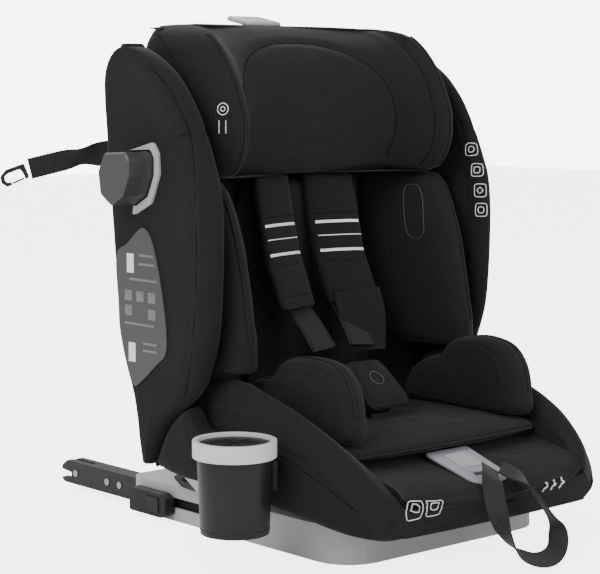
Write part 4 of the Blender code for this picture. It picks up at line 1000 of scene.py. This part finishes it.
# %% Shoulder pads and straps
#  drop under the headrest, offset from the leaning line, half width, half thickness
PAD_STATIONS = ((0.004, 0.031, 0.0325, 0.0075), (0.020, 0.030, 0.0340, 0.0085), (0.045, 0.027, 0.0340,
                                                                                 0.0088),
                (0.052, 0.0262, 0.0340, 0.0078), (0.070, 0.023, 0.0340, 0.0088), (0.095, 0.019, 0.0340,
                                                                                  0.0088),
                (0.120, 0.010, 0.0340, 0.0085), (0.138, 0.003, 0.0340, 0.0075), (0.1505, -0.0015, 0.0335,
                                                                                 0.0060))


def pad_point(side, drop, share):
    """A point in front of a shoulder pad, by its drop and its place across, from -1 to 1."""
    z = 0.408 - drop
    offset = np.interp(drop, [s[0] for s in PAD_STATIONS], [s[1] for s in PAD_STATIONS])
    turn = math.radians(14) * -side
    return (side * 0.045 + math.cos(turn) * 0.034 * share,
            leaning(offset, z) - 0.010 + math.sin(turn) * 0.034 * share, z)


for side_name, side in (("left", -1), ("right", 1)):
    turn = math.radians(14) * -side
    ribs = []
    for drop, offset, half, thick in PAD_STATIONS:
        z = 0.408 - drop
        ribs.append(flat_rib((side * 0.045, leaning(offset, z), z), (math.cos(turn) * half,
                                                                     math.sin(turn) * half, 0),
                             (0, thick, 0.002)))
    pad = skin("cover_shoulder_pad_" + side_name, ribs, around=72, along=90, round_end=0.002)
    stuff(pad, pressure=3.0, most=0.0012, frames=8)
    ripple(pad, 0.0006, 0.035)
    for number, (drop, width) in enumerate(((0.058, 0.0034), (0.0745, 0.0011), (0.092, 0.0034))):
        tape(pad, "reflective_tape_%s_%d" % (side_name, number), pad_point(side, drop, -0.93),
             pad_point(side, drop, 0.93), width,
             REFLECTIVE, "backrest")
    for number, drop in enumerate((0.049, 0.104, 0.139)):
        line = [pad_point(side, drop, share) for share in (-0.93, -0.5, 0.0, 0.5, 0.93)]
        sew(pad, "shoulder_pad_seam_%s_%d" % (side_name, number), line, "backrest", radius=0.0006,
            depth=0.0012, reach=0.004)
    finish_soft(pad, PAD_COVER, "backrest", ["shoulder_pad_" + side_name])
    route = [(side * 0.030, -0.006, 0.206), (side * 0.034, 0.018, 0.236), (side * 0.040,
                                                                           leaning(0.0385, 0.290), 0.290),
             (side * 0.045, leaning(0.0415, 0.350), 0.350), (side * 0.045, leaning(0.0415, 0.400), 0.400)]
    ribbon("webbing_shoulder_" + side_name, route, 0.038, 0.0016, (1, 0, 0), WEBBING, "backrest",
                   ["shoulder_strap_" + side_name])
    # The edge lines are thin cords in the near-black of the painted seam shade.
    for edge in (-0.0165, 0.0165):
        stitch = [(x + edge, y - 0.0009, z) for x, y, z in route]
        cord_along("webbing_edge_%s_%s" % (side_name, "in" if edge * side < 0 else "out"),
                   smooth_row(stitch, 60, False), 0.0005,
                   PAINTED_SEAM_SHADE, "backrest", sides=5)

# %% [markdown]
# The crotch pad is a small soft tab over the buckle, with a raised ring on its face and a
# seam near its edge. It takes its place and tilt from the rigid piece it stands for.

# %% Crotch pad, buckle strap and pull loop
corners = coordinates(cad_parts["crotch_pad"])
pad_middle = (corners.min(axis=0) + corners.max(axis=0)) / 2
spread = corners - corners.mean(axis=0)
_, _, axes = np.linalg.svd(spread, full_matrices=False)
up_axis = axes[0] if axes[0][2] > 0 else -axes[0]
if abs(axes[0][0]) > 0.7:
    up_axis = axes[1] if axes[1][2] > 0 else -axes[1]
out_axis = np.cross((1, 0, 0), up_axis)
out_axis = out_axis if out_axis[1] < 0 else -out_axis
ribs = []
for along_pad, half, thick in ((-0.0330, 0.0290, 0.0030), (-0.026, 0.0325, 0.0050), (-0.010, 0.0330, 0.0062),
                               (0.008, 0.0310, 0.0064),
                               (0.022, 0.0295, 0.0058), (0.0315, 0.0270, 0.0040)):
    ribs.append(flat_rib(pad_middle + up_axis * along_pad, np.array((half, 0, 0)), out_axis * thick,
                         square=0.5))
crotch = skin("cover_crotch_pad", ribs, around=72, along=50, round_end=0.0015)
ripple(crotch, 0.0006, 0.03)
ring = [pad_middle + up_axis * (0.004 + 0.0095 * math.sin(a)) + np.array((0.0095 * math.cos(a), 0,
                                                                          0)) + out_axis * 0.007
        for a in (2 * math.pi * k / 14 for k in range(14))]
sew(crotch, "crotch_ring", ring, "base", radius=0.0011, material=EMBOSS, depth=0.0003, proud=0.0008,
    closed=True)
border = [pad_middle + up_axis * u + np.array((x, 0, 0)) + out_axis * 0.007
          for x, u in ((-0.026, -0.026), (-0.0255, 0.0), (-0.023, 0.026), (0.0, 0.0275), (0.023, 0.026),
                       (0.0255, 0.0), (0.026, -0.026))]
sew(crotch, "crotch_border", border, "base", radius=0.0006, depth=0.0012, reach=0.004)
finish_soft(crotch, PAD_COVER, "base", ["crotch_pad"])
dress("crotch_strap", WEBBING)

PULL_ROUTE = ((-0.001, -0.243, 0.0985), (-0.018, -0.262, 0.0900), (-0.030, -0.280, 0.0660), (-0.034, -0.296,
                                                                                             0.0420),
              (-0.027, -0.310, 0.0210), (-0.008, -0.318, 0.0110), (0.016, -0.317, 0.0100), (0.036, -0.310,
                                                                                            0.0180),
              (0.044, -0.300, 0.0360), (0.036, -0.287, 0.0600), (0.024, -0.270, 0.0850), (0.009, -0.250,
                                                                                          0.0985))
ribbon("webbing_pull_strap", PULL_ROUTE, 0.022, 0.0018, (0.0, 0.8, 0.55), WEBBING, "base", ["adjuster_strap"],
       count=120)

# %% [markdown]
# The top tether leaves the back of the shell as a wide sewn tab, narrows, turns once on
# itself, and ends at the hook.

# %% Tether strap
TETHER_ROUTE = ((-0.040, 0.1722, 0.432), (-0.080, 0.1842, 0.436), (-0.130, 0.226, 0.432), (-0.164, 0.250,
                                                                                           0.430),
                (-0.186, 0.2610, 0.4270), (-0.203, 0.2700, 0.4230), (-0.2409, 0.2896, 0.4130))
ribbon("webbing_tether", TETHER_ROUTE, (0.036, 0.036, 0.034, 0.030, 0.021, 0.0245, 0.0250), 0.0022,
       ((0, 0, 1), (0, 0, 1), (0, 0, 1), (0.10, -0.20, 0.97), (0.25, -0.45, 0.85), (0.10, -0.15, 0.98),
        (0, 0, 1)),
       WEBBING, "backrest", ["tether_strap"], count=110)
print("webbing done")

# %% [markdown]
# ## Signs and small marks
# A real seat has printed and raised signs. These are plain geometric ones, rings, rounded
# squares and chevrons, and say nothing. Each is a thin raised line that follows the cover.

# %% Marks on the covers
def mark(host, name, points, radius, material, body, closed=True, count=40):
    """A thin raised line that lies on a piece's skin."""
    tree = BVHTree.FromPolygons(coordinates(host).tolist(), [tuple(p.vertices) for p in host.data.polygons])
    line = []
    for point in smooth_row(points, count, closed):
        found, normal, _, _ = tree.find_nearest(Vector(point))
        line.append(np.array(found + normal * radius * 0.3))
    return cord_along(name, np.array(line), radius, material, body, sides=5, closed=closed)


def ring_points(centre, right, up, size, power=1.0, count=16):
    """Points round a circle, or round a rounded square when power is under 1."""
    out = []
    for k in range(count):
        c, s = math.cos(2 * math.pi * k / count), math.sin(2 * math.pi * k / count)
        out.append(np.asarray(centre) + np.asarray(right) * size * math.copysign(abs(c) ** power, c)
                   + np.asarray(up) * size * math.copysign(abs(s) ** power, s))
    return out


X, Y, Z = np.eye(3)
for name, size in (("headrest_ring", 0.0065), ("headrest_ring_dot", 0.0026)):
    mark(hood, name, ring_points((-0.177, -0.001, 0.487), (-0.35, 0.94, 0), Z, size), 0.0006, PRINT,
         "headrest")
for x in (-0.004, 0.004):
    mark(hood, "headrest_bar_%s" % ("a" if x < 0 else "b"), [(-0.177 + x * 0.35, -0.001 - x, 0.4745),
                                                             (-0.177 + x * 0.35, -0.001 - x, 0.4600)],
         0.0006, PRINT, "headrest", closed=False, count=10)
tag = [(0.134, 0.012, 0.388), (0.134, 0.036, 0.388), (0.134, 0.030, 0.332), (0.134, 0.006, 0.332)]
mark(bolsters["right"], "bolster_tag", tag, 0.0007, EMBOSS, "backrest")
for number, (y, z) in enumerate(((-0.0165, 0.434), (-0.0265, 0.409), (-0.0320, 0.384), (-0.0340, 0.360))):
    middle = (0.2035, y, z)
    across = np.array((0.65, -0.76, 0))
    mark(wings["right"], "wing_sign_%d" % number, ring_points(middle, across, Z, 0.0080, 0.45), 0.0006, PRINT,
         "backrest")
    mark(wings["right"], "wing_sign_mark_%d" % number, ring_points(middle, across, Z, 0.0038, (1.0, 0.45, 1.6,
                                                                                               0.8)[number]),
         0.0006,
         PRINT, "backrest")
SEAT_SIGN = 0.0110
for number, x in enumerate((-0.131, -0.103)):
    middle = (x, -0.262, 0.0735)
    mark(tub, "seat_sign_%d" % number, ring_points(middle, X, Z, SEAT_SIGN, 0.40), 0.0006, PRINT, "base")
    mark(tub, "seat_sign_mark_%d" % number, ring_points(middle, X, Z, SEAT_SIGN * 0.5, 1.0), 0.0006, PRINT,
         "base")
for number, x in enumerate((0.074, 0.088, 0.102)):
    points = [(x - 0.005, -0.262, 0.0745), (x + 0.002, -0.262, 0.0690), (x - 0.005, -0.262, 0.0635)]
    mark(tub, "seat_chevron_%d" % number, points, 0.0011, PRINT, "base", closed=False, count=14)
LABEL_LINE = [(-0.227, y, z) for y, z in ((0.083, 0.353), (0.110, 0.334), (0.131, 0.319), (0.128, 0.267),
                                          (0.125, 0.232),
                                          (0.110, 0.187), (0.100, 0.172), (0.088, 0.176), (0.059, 0.198),
                                          (0.040, 0.214),
                                          (0.038, 0.241), (0.046, 0.285), (0.057, 0.324), (0.068, 0.346))]
print("marks done")

# %% [markdown]
# ## The rigid details
# These are turned, moulded or stamped on the real seat, so they are modelled from
# primitives that are cut with booleans, and bevelled so that their edges catch light.

# %% Modelling helpers
def settle(piece, name, material, body, bevel=0.0, segments=3, stands_for=()):
    """Names a modelled piece, rounds its edges, clears its transform and hangs it on a body."""
    piece.name = name
    use_only(piece)
    bpy.ops.object.transform_apply(location=True, rotation=True, scale=True)
    if bevel:
        rounded = piece.modifiers.new("edge", "BEVEL")
        rounded.width = bevel
        rounded.segments = segments
        rounded.limit_method = "ANGLE"
        rounded.angle_limit = math.radians(35)
        bpy.ops.object.modifier_apply(modifier=rounded.name)
    bpy.ops.object.shade_smooth_by_angle(angle=math.radians(40))
    piece.data.materials.clear()
    piece.data.materials.append(material)
    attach(piece, body)
    if stands_for:
        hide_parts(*stands_for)
    return piece


def fresh(add, **measures):
    """Adds a primitive with nothing else selected, and returns it."""
    bpy.ops.object.select_all(action="DESELECT")
    add(**measures)
    return bpy.context.object


def subtract(piece, cutters):
    """Cuts shapes out of a piece, then removes them."""
    for cutter in cutters:
        boolean = piece.modifiers.new("cut", "BOOLEAN")
        boolean.operation = "DIFFERENCE"
        boolean.solver = "EXACT"
        boolean.object = cutter
        use_only(piece)
        bpy.ops.object.modifier_apply(modifier=boolean.name)
        bpy.data.objects.remove(cutter, do_unlink=True)


# %% [markdown]
# The cup is a blow-moulded tumbler with a draft, so its sides lean out. A pale collar
# clips over it, and a rubber disc with crossed slits in the collar grips whatever stands
# inside.

# %% Cup and collar
CUP = (-0.2625, -0.123)
cup = fresh(bpy.ops.mesh.primitive_cone_add, vertices=72, radius1=0.0365, radius2=0.0400, depth=0.085,
            location=(*CUP, 0.0885))
made = fresh(bpy.ops.mesh.primitive_cone_add, vertices=72, radius1=0.0345, radius2=0.0382, depth=0.087,
             location=(*CUP, 0.0915))
subtract(cup, [made])
settle(cup, "moulded_cup", CUP_BLACK, "cup_holder", bevel=0.0012, stands_for=["cup_holder_cup"])
BEAD_Z = 0.052
bead = fresh(bpy.ops.mesh.primitive_torus_add, major_radius=0.0366 + (BEAD_Z - 0.046) * 0.0412,
             minor_radius=0.0005, major_segments=72, minor_segments=8, location=(*CUP, BEAD_Z))
settle(bead, "cup_bead_0", CUP_BLACK, "cup_holder")

collar = fresh(bpy.ops.mesh.primitive_cylinder_add, vertices=72, radius=0.0445, depth=0.0185,
               location=(*CUP, 0.13625))
mouth = fresh(bpy.ops.mesh.primitive_cylinder_add, vertices=72, radius=0.0385, depth=0.05,
              location=(*CUP, 0.13625))
made = fresh(bpy.ops.mesh.primitive_cylinder_add, vertices=72, radius=0.0405, depth=0.010,
             location=(*CUP, 0.1266))
subtract(collar, [mouth, made])
settle(collar, "cup_collar", COLLAR_GREY, "cup_holder", bevel=0.0032, segments=5,
       stands_for=["cup_holder_rim"])
disc = fresh(bpy.ops.mesh.primitive_cylinder_add, vertices=72, radius=0.0391, depth=0.0016,
             location=(*CUP, 0.1405))
slits = []
for step in range(3):
    slits.append(fresh(bpy.ops.mesh.primitive_cube_add, size=1.0, location=(*CUP, 0.1405),
                       rotation=(0, 0, math.radians(60 * step + 15)), scale=(0.052, 0.0022, 0.01)))
subtract(disc, slits)
settle(disc, "cup_grip_disc", BLACK_SHELL, "cup_holder", bevel=0.0003, segments=2)
print("cup:", len(cup.data.polygons), "faces")

# %% [markdown]
# Rivets along the steel arms show how they are put together.

# %% Rivets
def rivet(name, place, radius, height, axis, material, body):
    turn = {"X": (0, math.pi / 2, 0), "Y": (math.pi / 2, 0, 0), "Z": (0, 0, 0)}[axis]
    made = fresh(bpy.ops.mesh.primitive_cylinder_add, vertices=32, radius=radius, depth=height,
                 location=place, rotation=turn)
    return settle(made, name, material, body, bevel=min(height, radius) * 0.35)


for side_name, side in (("left", -1), ("right", 1)):
    for number, (y, z) in enumerate(((0.330, 0.022), (0.262, 0.022), (0.236, 0.022))):
        rivet("arm_rivet_%s_%d" % (side_name, number), (side * 0.1525, y, z), 0.0045, 0.0022, "X", ZINC,
              "isofix_frame")
print("rivets done")

# %% [markdown]
# The left wing carries a glossy instruction label. Here it is a plain film with blocks and
# bars where the real one is printed.

# %% Label film
rim = smooth_row([(y, z) for _, y, z in LABEL_LINE], 96, True)
count = len(rim)
film_points = [(-0.2288, y, z) for y, z in rim] + [(-0.2262, y, z) for y, z in rim]
film_faces = [tuple(range(count)), tuple(range(2 * count - 1, count - 1, -1))]
film_faces += [(k, (k + 1) % count, (k + 1) % count + count, k + count) for k in range(count)]
plain_piece("wing_label_film", film_points, film_faces, LABEL, "backrest")


def printed(name, y, z, wide, high, material):
    """A small printed rectangle on the label film."""
    made = fresh(bpy.ops.mesh.primitive_cube_add, size=1.0, location=(-0.2289, y, z), scale=(0.0004, wide,
                                                                                             high))
    return settle(made, name, material, "backrest", bevel=min(wide, high) * 0.18)


for number, (y, z) in enumerate(((0.104, 0.312), (0.102, 0.210))):
    printed("label_block_%d" % number, y, z, 0.013, 0.022, PRINT)
for number, (y, z, wide) in enumerate(((0.074, 0.322, 0.026), (0.074, 0.312, 0.030), (0.080, 0.294, 0.052),
                                       (0.088, 0.243, 0.056),
                                       (0.068, 0.222, 0.026), (0.068, 0.214, 0.026))):
    printed("label_bar_%d" % number, y, z, wide, 0.0028, LABEL_PALE)
for number, (y, z) in enumerate(((0.064, 0.275), (0.086, 0.275), (0.108, 0.275), (0.064, 0.256),
                                 (0.108, 0.258))):
    printed("label_step_%d" % number, y, z, 0.014, 0.012, LABEL_PALE)

# %% [markdown]
# The headrest's release lever is a pale slab that lies over the top of the hood.

# %% Lever and strap flap
lever = fresh(bpy.ops.mesh.primitive_cube_add, size=1.0, location=(0.0, 0.1570, 0.5900), scale=(0.052, 0.044,
                                                                                                0.0065))
lever.rotation_euler = (math.radians(11), 0, 0)
settle(lever, "headrest_lever_cap", TRIM_GREY, "headrest_lever", bevel=0.003, segments=4,
       stands_for=["headrest_lever"])
ribbon("strap_flap_right", ((0.048, 0.024, 0.268), (0.047, 0.014, 0.245), (0.045, 0.006, 0.222),
                            (0.043, -0.002, 0.198)),
       (0.064, 0.064, 0.058, 0.048), 0.0035, (0.97, -0.24, 0), PAD_COVER, "backrest")
